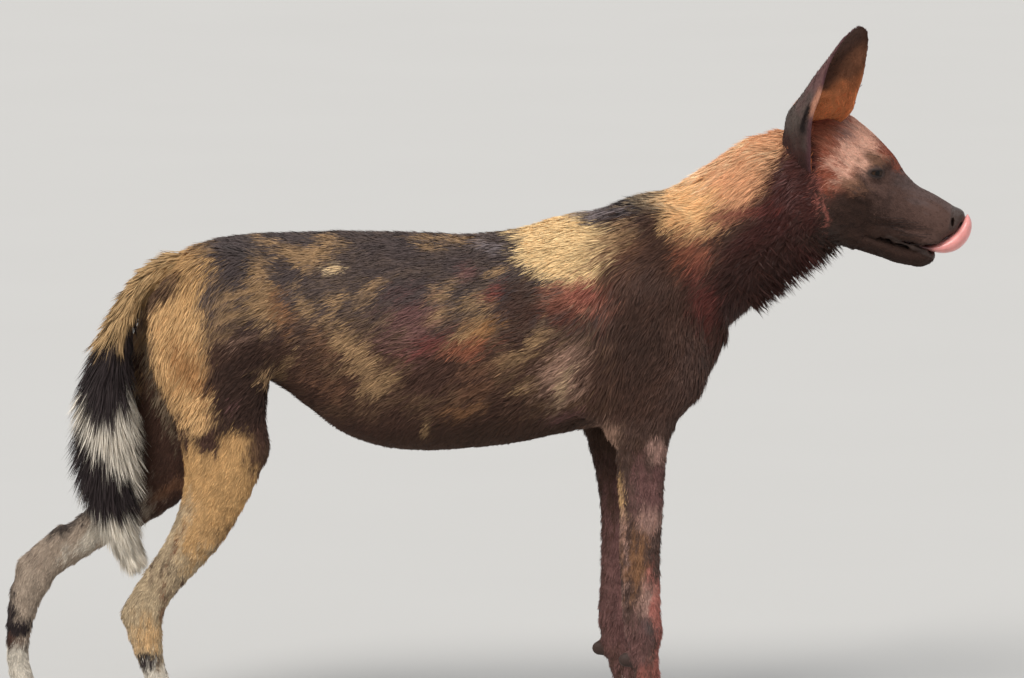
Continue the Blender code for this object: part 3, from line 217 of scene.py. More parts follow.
# Lights, as far away as the sun and as soft as wide panels: the way they come from, width in degrees, strength, colour
LIGHTS = {
    "key": ((-0.45, -0.80, 1.00), 28.0, 2.70, (1.0, 0.97, 0.93)),
    "fill": ((0.90, -0.70, 0.60), 40.0, 0.55, (0.95, 0.97, 1.0)),
    "back": ((0.30, 0.90, 1.10), 30.0, 0.90, (1.0, 0.98, 0.95)),
}
# The strength of the light from all round
AIR = 0.52

# Tones as they look on a screen
TONES = {
    # The bluish black is the coat's black, lightened by a painted sheen from the light above
    "black": (46, 37, 37), "black_painted_sheen": (82, 71, 69), "brown_black": (76, 52, 42), "belly_coat_and_shade": (70, 49, 38),
    "maroon": (70, 34, 29), "throat": (60, 33, 26), "grey": (132, 120, 120), "tan": (172, 138, 100),
    "pale_tan": (196, 168, 130), "saddle": (238, 204, 150), "cream": (236, 204, 158),
    "peach": (226, 166, 122), "ochre": (214, 172, 120), "neck_cream": (248, 218, 174),
    "neck_tan": (238, 190, 134), "salmon": (172, 110, 88), "arm_pink": (176, 106, 94),
    "arm_light": (182, 144, 130), "dark_ochre": (164, 116, 72), "russet": (156, 92, 68),
    "red": (132, 66, 58), "rose": (156, 92, 80), "pink": (230, 180, 156), "pink_tan": (172, 136, 116),
    "mauve": (118, 82, 78), "foreleg": (88, 66, 58), "shank": (200, 158, 106), "hock": (188, 166, 134),
    "far_shank": (170, 152, 134), "far_grey": (128, 110, 90), "thigh_black": (62, 43, 35),
    "flank_brown": (150, 106, 72), "white": (214, 204, 188), "muzzle": (92, 68, 60),
    # The nose top's tone is the muzzle lightened on top as painted light from above
    "lit_nose_top": (96, 78, 74), "cheek": (60, 40, 32), "temple_brown": (122, 86, 64),
    # The ear slit's tone is painted shade inside the pouch's fold
    "temple_red": (156, 84, 62), "ear": (88, 76, 70), "ear_top": (120, 86, 84), "ear_slit_shade": (26, 14, 12),
    "ear_pouch": (184, 130, 106), "ear_low": (62, 38, 34), "ear_rim": (92, 58, 62),
    "ear_inside": (252, 158, 102), "ear_edge": (168, 112, 82), "ear_deep": (76, 48, 36),
    "tail_top": (176, 144, 102), "bare": (70, 54, 48), "mouth": (46, 24, 22), "whisker": (40, 32, 30),
    # The tongue's root tone is the tongue darkened as painted shade inside the mouth
    "eyelid": (34, 26, 25), "tongue": (226, 148, 142), "tongue_root_in_shade": (70, 30, 30),
    "claw_dark": (38, 32, 30), "claw_light": (92, 78, 68),
}
# Markings as seen from the side, each laid over the ones before it: side (-1 right, 1 left, 0 both), x, z,
# half length, half height, turn in degrees, softness of the edge, tone
MARKS = (
    # The back, the saddle and the thighs
    (0, -0.3, 0.672, 0.14, 0.03, 0, 0.3, "black_painted_sheen"),
    # The second mark here darkens the underside: partly the coat's own dark belly, partly painted shade under the
    # trunk
    (0, -0.02, 0.676, 0.2, 0.014, 0, 0.4, "black_painted_sheen"), (0, 0.0, 0.372, 0.23, 0.044, 4, 0.4, "belly_coat_and_shade"),
    (0, -0.408, 0.535, 0.04, 0.12, 8, 0.24, "ochre"),
    (0, -0.384, 0.47, 0.022, 0.06, 20, 0.6, "dark_ochre"), (0, -0.395, 0.615, 0.03, 0.04, 0, 0.5, "shank"),
    (0, 0.098, 0.648, 0.066, 0.046, -12, 0.2, "saddle"),
    (-1, 0.136, 0.628, 0.034, 0.04, 0, 0.25, "saddle"), (0, 0.19, 0.7, 0.06, 0.022, 12, 0.3, "black"),
    (0, 0.11, 0.706, 0.07, 0.008, 8, 0.3, "black"), (0, 0.15, 0.69, 0.04, 0.005, 8, 0.5, "grey"),
    (-1, 0.214, 0.688, 0.022, 0.03, -20, 0.35, "black"),
    # The right side
    (-1, 0.12, 0.58, 0.042, 0.026, 4, 0.55, "salmon"), (-1, 0.134, 0.59, 0.022, 0.01, 0, 0.7, "red"),
    (-1, 0.104, 0.56, 0.032, 0.016, -10, 0.8, "maroon"),
    (-1, 0.046, 0.572, 0.022, 0.04, -14, 0.6, "brown_black"),
    (-1, -0.074, 0.652, 0.02, 0.006, 0, 0.55, "tan"), (-1, -0.036, 0.654, 0.018, 0.006, 0, 0.55, "tan"),
    (-1, -0.002, 0.648, 0.015, 0.006, -8, 0.6, "grey"),
    (-1, -0.024, 0.616, 0.011, 0.008, 20, 0.7, "mauve"), (-1, 0.014, 0.615, 0.013, 0.006, 30, 0.6, "tan"),
    (-1, -0.06, 0.588, 0.016, 0.009, 30, 0.75, "tan"), (-1, -0.018, 0.576, 0.014, 0.01, 30, 0.75, "tan"),
    (-1, -0.062, 0.559, 0.016, 0.01, 20, 0.6, "tan"),
    (-1, -0.014, 0.54, 0.024, 0.013, 24, 0.6, "dark_ochre"),
    (-1, -0.034, 0.532, 0.02, 0.01, 24, 0.65, "tan"), (-1, -0.026, 0.518, 0.034, 0.008, 14, 0.8, "russet"),
    (-1, 0.01, 0.588, 0.008, 0.018, -30, 0.6, "red"), (-1, -0.002, 0.566, 0.006, 0.02, -40, 0.7, "tan"),
    (-1, 0.034, 0.505, 0.02, 0.008, 14, 0.7, "tan"),
    (-1, -0.01, 0.49, 0.026, 0.008, 20, 0.9, "temple_brown"),
    (-1, 0.05, 0.468, 0.014, 0.008, 10, 0.65, "tan"),
    (-1, -0.014, 0.461, 0.022, 0.008, 16, 0.75, "temple_brown"),
    (-1, -0.03, 0.436, 0.022, 0.006, 16, 0.85, "flank_brown"),
    (-1, 0.1, 0.48, 0.026, 0.036, -24, 0.55, "pink_tan"),
    (-1, 0.1, 0.466, 0.008, 0.02, -24, 0.8, "pale_tan"), (-1, 0.1, 0.424, 0.022, 0.006, 12, 0.7, "mauve"),
    (-1, 0.066, 0.53, 0.006, 0.018, -30, 0.75, "tan"), (-1, -0.283, 0.65, 0.02, 0.005, -6, 0.55, "tan"),
    (-1, -0.24, 0.632, 0.027, 0.011, -10, 0.6, "tan"), (-1, -0.298, 0.612, 0.016, 0.022, 10, 0.55, "tan"),
    (-1, -0.29, 0.58, 0.021, 0.036, 14, 0.5, "tan"),
    (-1, -0.266, 0.572, 0.011, 0.028, 14, 0.7, "flank_brown"),
    (-1, -0.261, 0.597, 0.03, 0.009, -50, 0.5, "black_painted_sheen"),
    (-1, -0.318, 0.634, 0.026, 0.01, 62, 0.5, "black_painted_sheen"),
    (-1, -0.336, 0.586, 0.02, 0.008, 12, 0.7, "tan"), (-1, -0.34, 0.56, 0.022, 0.008, 12, 0.7, "tan"),
    (-1, -0.348, 0.536, 0.018, 0.007, 8, 0.75, "tan"),
    (-1, -0.318, 0.528, 0.014, 0.007, 10, 0.75, "pink_tan"),
    (-1, -0.205, 0.65, 0.019, 0.007, -4, 0.6, "tan"), (-1, -0.212, 0.636, 0.01, 0.01, 0, 0.6, "tan"),
    (-1, -0.197, 0.619, 0.009, 0.007, 20, 0.5, "cream"), (-1, -0.2, 0.578, 0.014, 0.009, 0, 0.6, "tan"),
    (-1, -0.207, 0.553, 0.011, 0.008, 0, 0.6, "tan"), (-1, -0.15, 0.586, 0.022, 0.008, 40, 0.75, "tan"),
    (-1, -0.182, 0.522, 0.026, 0.013, -30, 0.65, "tan"),
    (-1, -0.158, 0.494, 0.024, 0.014, -10, 0.7, "tan"), (-1, -0.146, 0.468, 0.014, 0.014, 0, 0.75, "tan"),
    (-1, -0.121, 0.478, 0.008, 0.009, 0, 0.6, "tan"),
    (-1, -0.19, 0.466, 0.012, 0.01, -40, 0.8, "temple_brown"),
    (-1, -0.08, 0.412, 0.005, 0.009, -20, 0.6, "tan"), (-1, -0.096, 0.545, 0.03, 0.036, 10, 0.75, "mauve"),
    (-1, -0.1, 0.556, 0.014, 0.008, 20, 1.0, "mauve"), (-1, -0.074, 0.522, 0.022, 0.008, 20, 1.0, "red"),
    (-1, -0.236, 0.56, 0.006, 0.03, 24, 0.75, "tan"),
    (-1, -0.218, 0.524, 0.005, 0.03, 30, 0.75, "temple_brown"),
    (-1, -0.214, 0.462, 0.004, 0.03, 44, 0.75, "temple_brown"),
    # A thin tan line on the flank fold is a painted highlight along the fold's ridge
    (-1, -0.262, 0.492, 0.004, 0.024, -14, 0.75, "tan"),
    (-1, -0.318, 0.462, 0.046, 0.058, 0, 0.25, "thigh_black"),
    (-1, -0.352, 0.404, 0.04, 0.026, 14, 0.25, "thigh_black"),
    (-1, -0.293, 0.478, 0.01, 0.01, -20, 0.6, "tan"), (-1, -0.334, 0.446, 0.006, 0.006, 0, 0.7, "mauve"),
    (-1, -0.384, 0.436, 0.024, 0.034, 28, 0.24, "ochre"),
    # The left side, which the photo doesn't show
    (1, -0.12, 0.56, 0.052, 0.026, 12, 0.5, "ochre"), (1, -0.15, 0.61, 0.03, 0.014, -6, 0.55, "pale_tan"),
    (1, 0.03, 0.52, 0.03, 0.04, -20, 0.5, "tan"), (1, 0.052, 0.488, 0.014, 0.016, 0, 0.55, "cream"),
    (1, -0.06, 0.452, 0.05, 0.014, 6, 0.6, "tan"), (1, 0.205, 0.56, 0.028, 0.036, 20, 0.55, "tan"),
    (1, -0.31, 0.57, 0.036, 0.04, 0, 0.45, "shank"), (1, -0.34, 0.47, 0.024, 0.03, 20, 0.55, "tan"),
    (1, -0.25, 0.636, 0.028, 0.01, 4, 0.6, "tan"),
    # Shoulder and neck
    (0, 0.19, 0.64, 0.048, 0.038, 14, 0.6, "temple_brown"), (0, 0.17, 0.66, 0.026, 0.012, 14, 0.75, "tan"),
    (-1, 0.214, 0.64, 0.026, 0.05, -14, 0.5, "brown_black"),
    (-1, 0.162, 0.612, 0.012, 0.03, -20, 0.7, "maroon"),
    (0, 0.3, 0.766, 0.108, 0.056, 35, 0.25, "neck_cream"),
    (0, 0.322, 0.73, 0.066, 0.038, 32, 0.5, "peach"), (0, 0.268, 0.694, 0.038, 0.034, 20, 0.4, "neck_tan"),
    (0, 0.27, 0.642, 0.024, 0.022, -10, 0.75, "russet"), (0, 0.374, 0.79, 0.03, 0.03, 0, 0.5, "peach"),
    (0, 0.398, 0.645, 0.1, 0.062, 35, 0.22, "maroon"),
    (0, 0.396, 0.716, 0.034, 0.072, -14, 0.25, "maroon"), (-1, 0.402, 0.716, 0.01, 0.03, 14, 0.8, "mauve"),
    (0, 0.34, 0.6, 0.08, 0.04, 38, 0.3, "throat"), (0, 0.205, 0.606, 0.034, 0.02, 0, 0.75, "foreleg"),
    (0, 0.2, 0.52, 0.06, 0.036, 80, 0.6, "thigh_black"),
    (0, 0.262, 0.48, 0.06, 0.024, 70, 0.75, "foreleg"),
    (0, 0.222, 0.668, 0.046, 0.015, -79, 0.45, "brown_black"),
    (-1, 0.326, 0.692, 0.034, 0.008, 8, 0.75, "red"), (-1, 0.284, 0.58, 0.012, 0.04, 14, 1.0, "red"),
    # The right foreleg
    (-1, 0.154, 0.396, 0.018, 0.02, -30, 0.85, "pink_tan"),
    (-1, 0.222, 0.382, 0.01, 0.014, 10, 0.6, "arm_light"), (-1, 0.21, 0.33, 0.02, 0.034, 0, 0.6, "mauve"),
    (-1, 0.214, 0.284, 0.015, 0.014, -20, 0.65, "arm_light"),
    # The second mark here, a thin pale line down the rear edge of the right foreleg, is a painted highlight along that
    # edge
    (-1, 0.176, 0.32, 0.005, 0.026, 4, 0.6, "ochre"), (-1, 0.178, 0.22, 0.003, 0.08, -1, 0.7, "arm_light"),
    (-1, 0.194, 0.23, 0.014, 0.034, 0, 0.75, "flank_brown"),
    (-1, 0.213, 0.18, 0.012, 0.024, -14, 0.65, "arm_light"),
    (-1, 0.226, 0.13, 0.008, 0.08, 4, 0.65, "arm_pink"),
    (-1, 0.209, 0.14, 0.01, 0.012, 0, 0.6, "black_painted_sheen"), (-1, 0.19, 0.12, 0.02, 0.03, 0, 0.7, "mauve"),
    # The left foreleg
    (1, 0.176, 0.18, 0.04, 0.11, 0, 0.6, "mauve"),
    # The right hindleg
    (-1, -0.35, 0.338, 0.07, 0.06, 20, 0.22, "shank"), (-1, -0.4, 0.252, 0.052, 0.07, 40, 0.35, "hock"),
    (-1, -0.36, 0.284, 0.03, 0.06, -32, 0.5, "shank"),
    (-1, -0.363, 0.394, 0.017, 0.019, 0, 0.35, "brown_black"),
    (-1, -0.334, 0.396, 0.01, 0.014, 0, 0.5, "shank"),
    (-1, -0.296, 0.384, 0.014, 0.04, -8, 0.5, "brown_black"),
    (-1, -0.45, 0.15, 0.04, 0.08, 0, 0.3, "hock"), (-1, -0.449, 0.128, 0.018, 0.024, 0, 0.7, "ochre"),
    (-1, -0.413, 0.25, 0.028, 0.003, 60, 0.5, "temple_brown"),
    # A thin brown line down the front edge of the right hock is painted shadow along that edge
    (-1, -0.427, 0.166, 0.003, 0.03, 0, 0.6, "temple_brown"),
    (-1, -0.45, 0.092, 0.022, 0.013, 34, 0.25, "black"),
    # The left hindleg
    (1, -0.392, 0.42, 0.08, 0.08, 0, 0.25, "brown_black"),
    (1, -0.536, 0.25, 0.094, 0.05, 34, 0.3, "far_shank"),
    (1, -0.418, 0.316, 0.03, 0.008, 34, 0.6, "temple_brown"),
    (1, -0.434, 0.452, 0.068, 0.008, -74, 0.35, "far_grey"),
    (1, -0.52, 0.248, 0.05, 0.012, 34, 0.6, "white"), (1, -0.545, 0.278, 0.06, 0.012, 34, 0.55, "black"),
    (1, -0.606, 0.17, 0.034, 0.07, 0, 0.3, "far_shank"), (1, -0.64, 0.165, 0.01, 0.05, 4, 0.4, "black"),
    (1, -0.622, 0.128, 0.022, 0.012, 10, 0.3, "black"),
    # Feet
    (0, -0.6, 0.02, 0.5, 0.078, 0, 0.12, "white"), (0, 0.23, 0.01, 0.2, 0.038, 0, 0.2, "white"),
    (-1, 0.23, 0.06, 0.03, 0.03, 0, 0.7, "rose"), (1, -0.59, 0.03, 0.02, 0.02, 0, 0.4, "brown_black"),
    # The head
    # The lighter band along the top of the muzzle is painted light from above
    (0, 0.56, 0.68, 0.11, 0.062, -25, 0.08, "muzzle"), (0, 0.57, 0.72, 0.075, 0.016, -30, 0.6, "lit_nose_top"),
    (0, 0.5, 0.64, 0.11, 0.044, -25, 0.12, "cheek"), (0, 0.475, 0.684, 0.04, 0.036, 0, 0.3, "cheek"),
    (0, 0.466, 0.806, 0.062, 0.034, -20, 0.3, "temple_red"),
    (0, 0.497, 0.792, 0.026, 0.016, -38, 0.55, "pink"),
    (0, 0.526, 0.764, 0.026, 0.01, -42, 0.5, "temple_red"),
    (0, 0.456, 0.766, 0.038, 0.05, -6, 0.35, "temple_red"),
    (0, 0.478, 0.768, 0.029, 0.034, -14, 0.6, "pink"), (0, 0.474, 0.764, 0.017, 0.022, -14, 0.6, "pink"),
    (0, 0.464, 0.792, 0.014, 0.01, -20, 0.8, "mauve"),
    (0, 0.48, 0.73, 0.016, 0.012, -10, 0.7, "temple_brown"),
    (0, 0.508, 0.757, 0.018, 0.01, -30, 0.6, "temple_brown"),
    (0, 0.516, 0.74, 0.017, 0.017, -20, 0.35, "muzzle"),
    (0, 0.418, 0.726, 0.017, 0.066, 0, 0.35, "maroon"), (0, 0.446, 0.79, 0.012, 0.018, 0, 0.7, "russet"),
    (0, 0.462, 0.692, 0.026, 0.022, 0, 0.4, "cheek"), (-1, 0.437, 0.712, 0.0026, 0.042, 8, 0.5, "rose"),
    (-1, 0.425, 0.716, 0.002, 0.026, 10, 0.6, "rose"),
    # The tail
    (0, -0.43, 0.585, 0.04, 0.012, 40, 0.5, "brown_black"),
)
# The tail's bands down its length: the height where each ends, and its tone
TAIL_BANDS = ((0.505, "tail_top"), (0.409, "black"), (0.367, "white"), (0.284, "black"), (0.0, "white"))


# Smooth curves through stations


def through(places, values, at):
    """A smooth curve through the stations: a cubic between each two, with the mean slope at each."""
    places, values = np.asarray(places, float), np.asarray(values, float)
    slopes = np.gradient(values, places)
    at = np.clip(at, places[0], places[-1])
    i = np.clip(np.searchsorted(places, at, side="right") - 1, 0, len(places) - 2)
    span = places[i + 1] - places[i]
    t = (at - places[i]) / span
    start = (1 + 2 * t) * (1 - t) ** 2 * values[i] + t * (1 - t) ** 2 * span * slopes[i]
    end = t * t * (3 - 2 * t) * values[i + 1] - t * t * (1 - t) * span * slopes[i + 1]
    return start + end


def resampled(stations, count):
    """The same stretch with more stations, evenly spaced along its line, which is in the first three columns."""
    rows = np.asarray(stations, float)
    run = np.concatenate([[0], np.cumsum(np.linalg.norm(np.diff(rows[:, :3], axis=0), axis=1))])
    at = np.linspace(0, run[-1], count)
    return np.stack([through(run, rows[:, k], at) for k in range(rows.shape[1])], axis=1)


# The shapes that the flesh is blended from. Each has a box and a distance.


def ellipsoid_distance(scaled, radii_squared):
    """Distance to a surface on which the scaled point has length 1."""
    k0 = np.sqrt(sum(s * s for s in scaled))
    k1 = np.sqrt(sum((s * s) / r for s, r in zip(scaled, radii_squared)))
    return k0 * (k0 - 1) / np.maximum(k1, 1e-6)


class Loft:
    """Sections square to a straight axis in the middle plane, each with a top, a bottom and a half width."""

    def __init__(self, root, pitch, stations, narrow=0.15, end=0.02):
        self.root, self.narrow, self.end = root, narrow, end
        self.cos, self.sin = math.cos(pitch), math.sin(pitch)
        self.rows = np.asarray(stations, float)
        corners = [self.place(row[0], row[k]) for row in self.rows for k in (1, 2)]
        xs, zs = [c[0] for c in corners], [c[1] for c in corners]
        wide = self.rows[:, 3].max() * (1 + narrow)
        self.low = np.array([min(xs) - end, -wide, min(zs) - end])
        self.high = np.array([max(xs) + end, wide, max(zs) + end])

    def place(self, along, up):
        return (
            self.root[0] + along * self.cos - up * self.sin,
            self.root[1] + along * self.sin + up * self.cos,
        )

    def distance(self, x, y, z):
        dx, dz = x - self.root[0], z - self.root[1]
        along = dx * self.cos + dz * self.sin
        up = dz * self.cos - dx * self.sin
        places = self.rows[:, 0]
        at = np.clip(along, places[0], places[-1])
        top, bottom, half = (through(places, self.rows[:, k], at) for k in (1, 2, 3))
        tall = (top - bottom) / 2
        v = (up - (top + bottom) / 2) / tall
        wide = half * (1 - self.narrow * np.clip(v, -1, 1))
        over = (along - at) / self.end
        scaled = (y / wide, v, over)
        return ellipsoid_distance(scaled, (wide**2, tall**2, self.end**2))


class Blob:
    """An ellipsoid, turned about the Y axis by pitch and then about Z by yaw."""

    def __init__(self, centre, radii, pitch=0.0, yaw=0.0):
        self.centre, self.radii = np.array(centre, float), radii
        turn = Matrix.Rotation(yaw, 3, "Z") @ Matrix.Rotation(-pitch, 3, "Y")
        self.axes = np.array(turn).T
        reach = np.sqrt(((self.axes * np.array(radii)[:, None]) ** 2).sum(axis=0))
        self.low, self.high = self.centre - reach, self.centre + reach

    def distance(self, x, y, z):
        d = (x - self.centre[0], y - self.centre[1], z - self.centre[2])
        scaled = [sum(a * q for a, q in zip(axis, d)) / r for axis, r in zip(self.axes, self.radii)]
        return ellipsoid_distance(scaled, [r * r for r in self.radii])


class Stretch:
    """One straight length of a limb between two sections, round at its ends."""

    def __init__(self, first, second):
        self.a, b = np.array(first[:3]), np.array(second[:3])
        self.deep, self.wide = (first[3], second[3]), (first[4], second[4])
        line = b - self.a
        self.length = float(np.linalg.norm(line))
        self.along = line / self.length
        out = np.array([0.0, 1.0, 0.0])
        out -= self.along * (out @ self.along)
        self.out = out / np.linalg.norm(out)
        self.side = np.cross(self.along, self.out)
        reach = max(*self.deep, *self.wide)
        self.low = np.minimum(self.a, b) - reach
        self.high = np.maximum(self.a, b) + reach

    def distance(self, x, y, z):
        d = (x - self.a[0], y - self.a[1], z - self.a[2])
        along, side, out = (
            sum(float(a) * q for a, q in zip(axis, d)) for axis in (self.along, self.side, self.out)
        )
        at = np.clip(along, 0, self.length)
        share = at / self.length
        deep = self.deep[0] + (self.deep[1] - self.deep[0]) * share
        wide = self.wide[0] + (self.wide[1] - self.wide[0]) * share
        end = np.minimum(deep, wide)
        scaled = (side / deep, out / wide, (along - at) / end)
        return ellipsoid_distance(scaled, (deep**2, wide**2, end**2))


def head_point(along, up, out, side=1):
    cos, sin = math.cos(HEAD_PITCH), math.sin(HEAD_PITCH)
    x = HEAD_ROOT[0] + along * cos - up * sin
    z = HEAD_ROOT[1] + along * sin + up * cos
    return Vector((x, side * out, z))


def head_direction(along, up, out, side=1):
    return (head_point(along, up, out, side) - head_point(0, 0, 0)).normalized()


def limb(stations, side, count):
    rows = resampled(stations, count)
    rows[:, 1] *= side
    return [Stretch(a, b) for a, b in zip(rows[:-1], rows[1:])]


# A foot's toes: how far each stands out from the foot's middle, and how far it reaches forward
TOES = ((-0.021, 0.036), (-0.0075, 0.050), (0.0075, 0.050), (0.021, 0.036))


def paw(x, y, size):
    """The pieces of one foot: four toes that arch to their tips, and the pads under them."""
    pieces = []
    for out, reach in TOES:
        root = (x - 0.006 * size, y + 0.75 * out * size, 0.038 * size)
        knuckle = (x + 0.62 * reach * size, y + out * size, 0.0300 * size)
        tip = (x + reach * size, y + 1.08 * out * size, 0.0130 * size)
        thick = 0.0115 * size
        pieces.append(Stretch((*root, thick, thick), (*knuckle, thick, thick)))
        pieces.append(Stretch((*knuckle, thick, thick), (*tip, 0.0105 * size, 0.0105 * size)))
        pad = (x + (reach - 0.004) * size, y + 1.05 * out * size, 0.0060 * size)
        pieces.append(Blob(pad, (0.0120 * size, 0.0085 * size, 0.0080 * size)))
    pieces.append(Blob((x + 0.006 * size, y, 0.0085 * size), (0.017 * size, 0.020 * size, 0.0115 * size)))
    return pieces


# Each foot: x, y, size
FEET = {
    "foreleg_right": (0.226, -0.050, 1.0),
    "foreleg_left": (0.198, 0.050, 1.0),
    "hindleg_right": (-0.418, -0.054, 0.93),
    "hindleg_left": (-0.609, 0.056, 0.93),
}
# Each limb: its sections, its side, and how many it is resampled to
LIMBS = {
    "foreleg_right": (NEAR_FORELEG, -1, 26),
    "foreleg_left": (FAR_FORELEG, 1, 26),
    "hindleg_right": (NEAR_HINDLEG, -1, 30),
    "hindleg_left": (FAR_HINDLEG, 1, 30),
}


# The shoulder, upper arm, triceps, haunch and hamstring of each side: middle, radii, turn in degrees, blend
MUSCLES = (
    ((0.215, 0.058, 0.600), (0.060, 0.032, 0.100), -18, 0.03),
    ((0.232, 0.060, 0.500), (0.052, 0.033, 0.070), 30, 0.03),
    ((0.170, 0.064, 0.475), (0.050, 0.027, 0.062), -35, 0.025),
    ((-0.345, 0.052, 0.560), (0.075, 0.036, 0.085), 10, 0.03),
    ((-0.400, 0.044, 0.520), (0.045, 0.031, 0.085), 4, 0.025),
)


def add_trunk(field):
    field.combine(Loft((0, 0), 0.0, TRUNK, narrow=0.10), 0.0)
    field.combine(Loft(NECK_ROOT, NECK_PITCH, NECK, narrow=0.05, end=0.03), 0.05)
    for side in (-1, 1):
        for (x, out, z), radii, turn, blend in MUSCLES:
            field.combine(Blob((x, side * out, z), radii, math.radians(turn)), blend)
    field.combine(Blob((0.267, 0, 0.500), (0.030, 0.045, 0.045)), 0.03)


def leg_details(name, side):
    """The elbow, wrist pad, knee, hock and hamstring cord of one leg."""
    stations = LIMBS[name][0]
    if name.startswith("fore"):
        x, z = stations[2][0], stations[2][2]
        wrist = stations[7]
        return [
            Blob((x - 0.030, side * 0.060, z + 0.012), (0.020, 0.015, 0.026), math.radians(-20)),
            Blob((wrist[0] - 0.021, side * 0.050, wrist[2] - 0.041), (0.0125, 0.0090, 0.0115)),
            Blob((wrist[0] + 0.004, side * 0.048, wrist[2] - 0.004), (0.0225, 0.0195, 0.024)),
        ]
    knee, hock, heel = HIND_POINTS[name]
    return [
        Blob((knee[0], side * 0.055, knee[1]), (0.032, 0.027, 0.036), math.radians(20)),
        Stretch(
            (heel[0], side * 0.052, heel[1], 0.0120, 0.0095),
            (hock[0], side * 0.053, hock[1], 0.017, 0.0145),
        ),
        Stretch(
            (heel[0] + 0.002, side * 0.052, heel[1] + 0.004, 0.0090, 0.0070),
            (heel[0] + 0.052, side * 0.052, heel[1] + heel[2], 0.0120, 0.0090),
        ),
    ]


# Knee, hock joint, and the heel's tip with the rise of the cord that pulls it: x, z
HIND_POINTS = {
    "hindleg_right": ((-0.318, 0.385), (-0.445, 0.165), (-0.473, 0.158, 0.070)),
    "hindleg_left": ((-0.392, 0.362), (-0.597, 0.186), (-0.615, 0.209, 0.046)),
}


# The corners and edges of a grid's cell, and the four cells round an edge along each axis
CORNERS = np.array([(i, j, k) for i in (0, 1) for j in (0, 1) for k in (0, 1)])
EDGES = [(a, b) for a in range(8) for b in range(a + 1, 8) if abs(CORNERS[a] - CORNERS[b]).sum() == 1]
AROUND = {0: ((0, 0, 0), (0, -1, 0), (0, -1, -1), (0, 0, -1)),
          1: ((0, 0, 0), (0, 0, -1), (-1, 0, -1), (-1, 0, 0)),
          2: ((0, 0, 0), (-1, 0, 0), (-1, -1, 0), (0, -1, 0))}
# The tail's line in even steps
TAIL_ROWS = resampled([(x, 0.0, z, core, reach) for x, z, core, reach in TAIL], 34)


def ramp(value, start, end):
    """0 up to start, 1 from end on, and smooth between them."""
    t = np.clip((value - start) / (end - start), 0, 1)
    return t * t * (3 - 2 * t)


def beyond(x, z, line):
    """Distance past a line across the body, in the middle plane."""
    (at_x, at_z), (way_x, way_z) = line
    return (x - at_x) * way_x + (z - at_z) * way_z


def shares(x, z):
    """How far a place belongs to the head, the neck, the legs and the feet, each from 0 to 1."""
    head = ramp(beyond(x, z, HEAD_LINE), -0.020, 0.015)
    neck = ramp(beyond(x, z, NECK_LINE), -0.050, 0.030) * (1 - head)
    leg = ramp(z, 0.440, 0.370) * (1 - neck) * (1 - head)
    return head, neck, leg, ramp(z, 0.085, 0.045)


def blended(x, z, sizes):
    """A size that changes from region to region of the body."""
    head, neck, leg, foot = shares(x, z)
    size = sizes["trunk"] + (sizes["neck"] - sizes["trunk"]) * neck
    size = size + (sizes["head"] - size) * head
    size = size + (sizes["leg"] - size) * leg
    return size + (sizes["foot"] - size) * foot


def coat_depth(x, z):
    soles = ramp(z, 0.002, 0.016)
    muzzle = ramp(beyond(x, z, HEAD_LINE), 0.100, 0.175)
    return blended(x, z, DEPTH) * soles * (1 - 0.8 * muzzle)


def graded(*stretches):
    """One axis of a grid, from stretches of start, end and step."""
    parts = [np.linspace(a, b, round((b - a) / step), endpoint=False) for a, b, step in stretches]
    return np.concatenate(parts)


class Field:
    """Distances to the blended surface at the points of a box grid: negative inside."""

    def __init__(self, *axes):
        self.axes = axes
        self.value = np.full([len(axis) for axis in axes], FAR, np.float32)

    def window(self, low, high):
        """The grid's slices between two corners, or None where they miss the grid."""
        ends = [np.searchsorted(axis, (a, b)) for axis, a, b in zip(self.axes, low, high)]
        if any(i >= j for i, j in ends):
            return None
        return tuple(slice(i, j) for i, j in ends)

    def combine(self, shape, blend, carve=False):
        margin = blend + REACH
        cuts = self.window(shape.low - margin, shape.high + margin)
        if cuts is None:
            return
        x, y, z = (axis[cut] for axis, cut in zip(self.axes, cuts))
        old = self.value[cuts]
        new = shape.distance(x[:, None, None], y[None, :, None], z[None, None, :]).astype(np.float32)
        if carve:
            old = -old
        merged = soft_union(old, new, blend)
        self.value[cuts] = -merged if carve else merged


def soft_union(first, second, blend):
    soft = np.maximum(blend - np.abs(first - second), 0) / max(blend, 1e-6)
    return np.minimum(first, second) - soft * soft * blend / 4


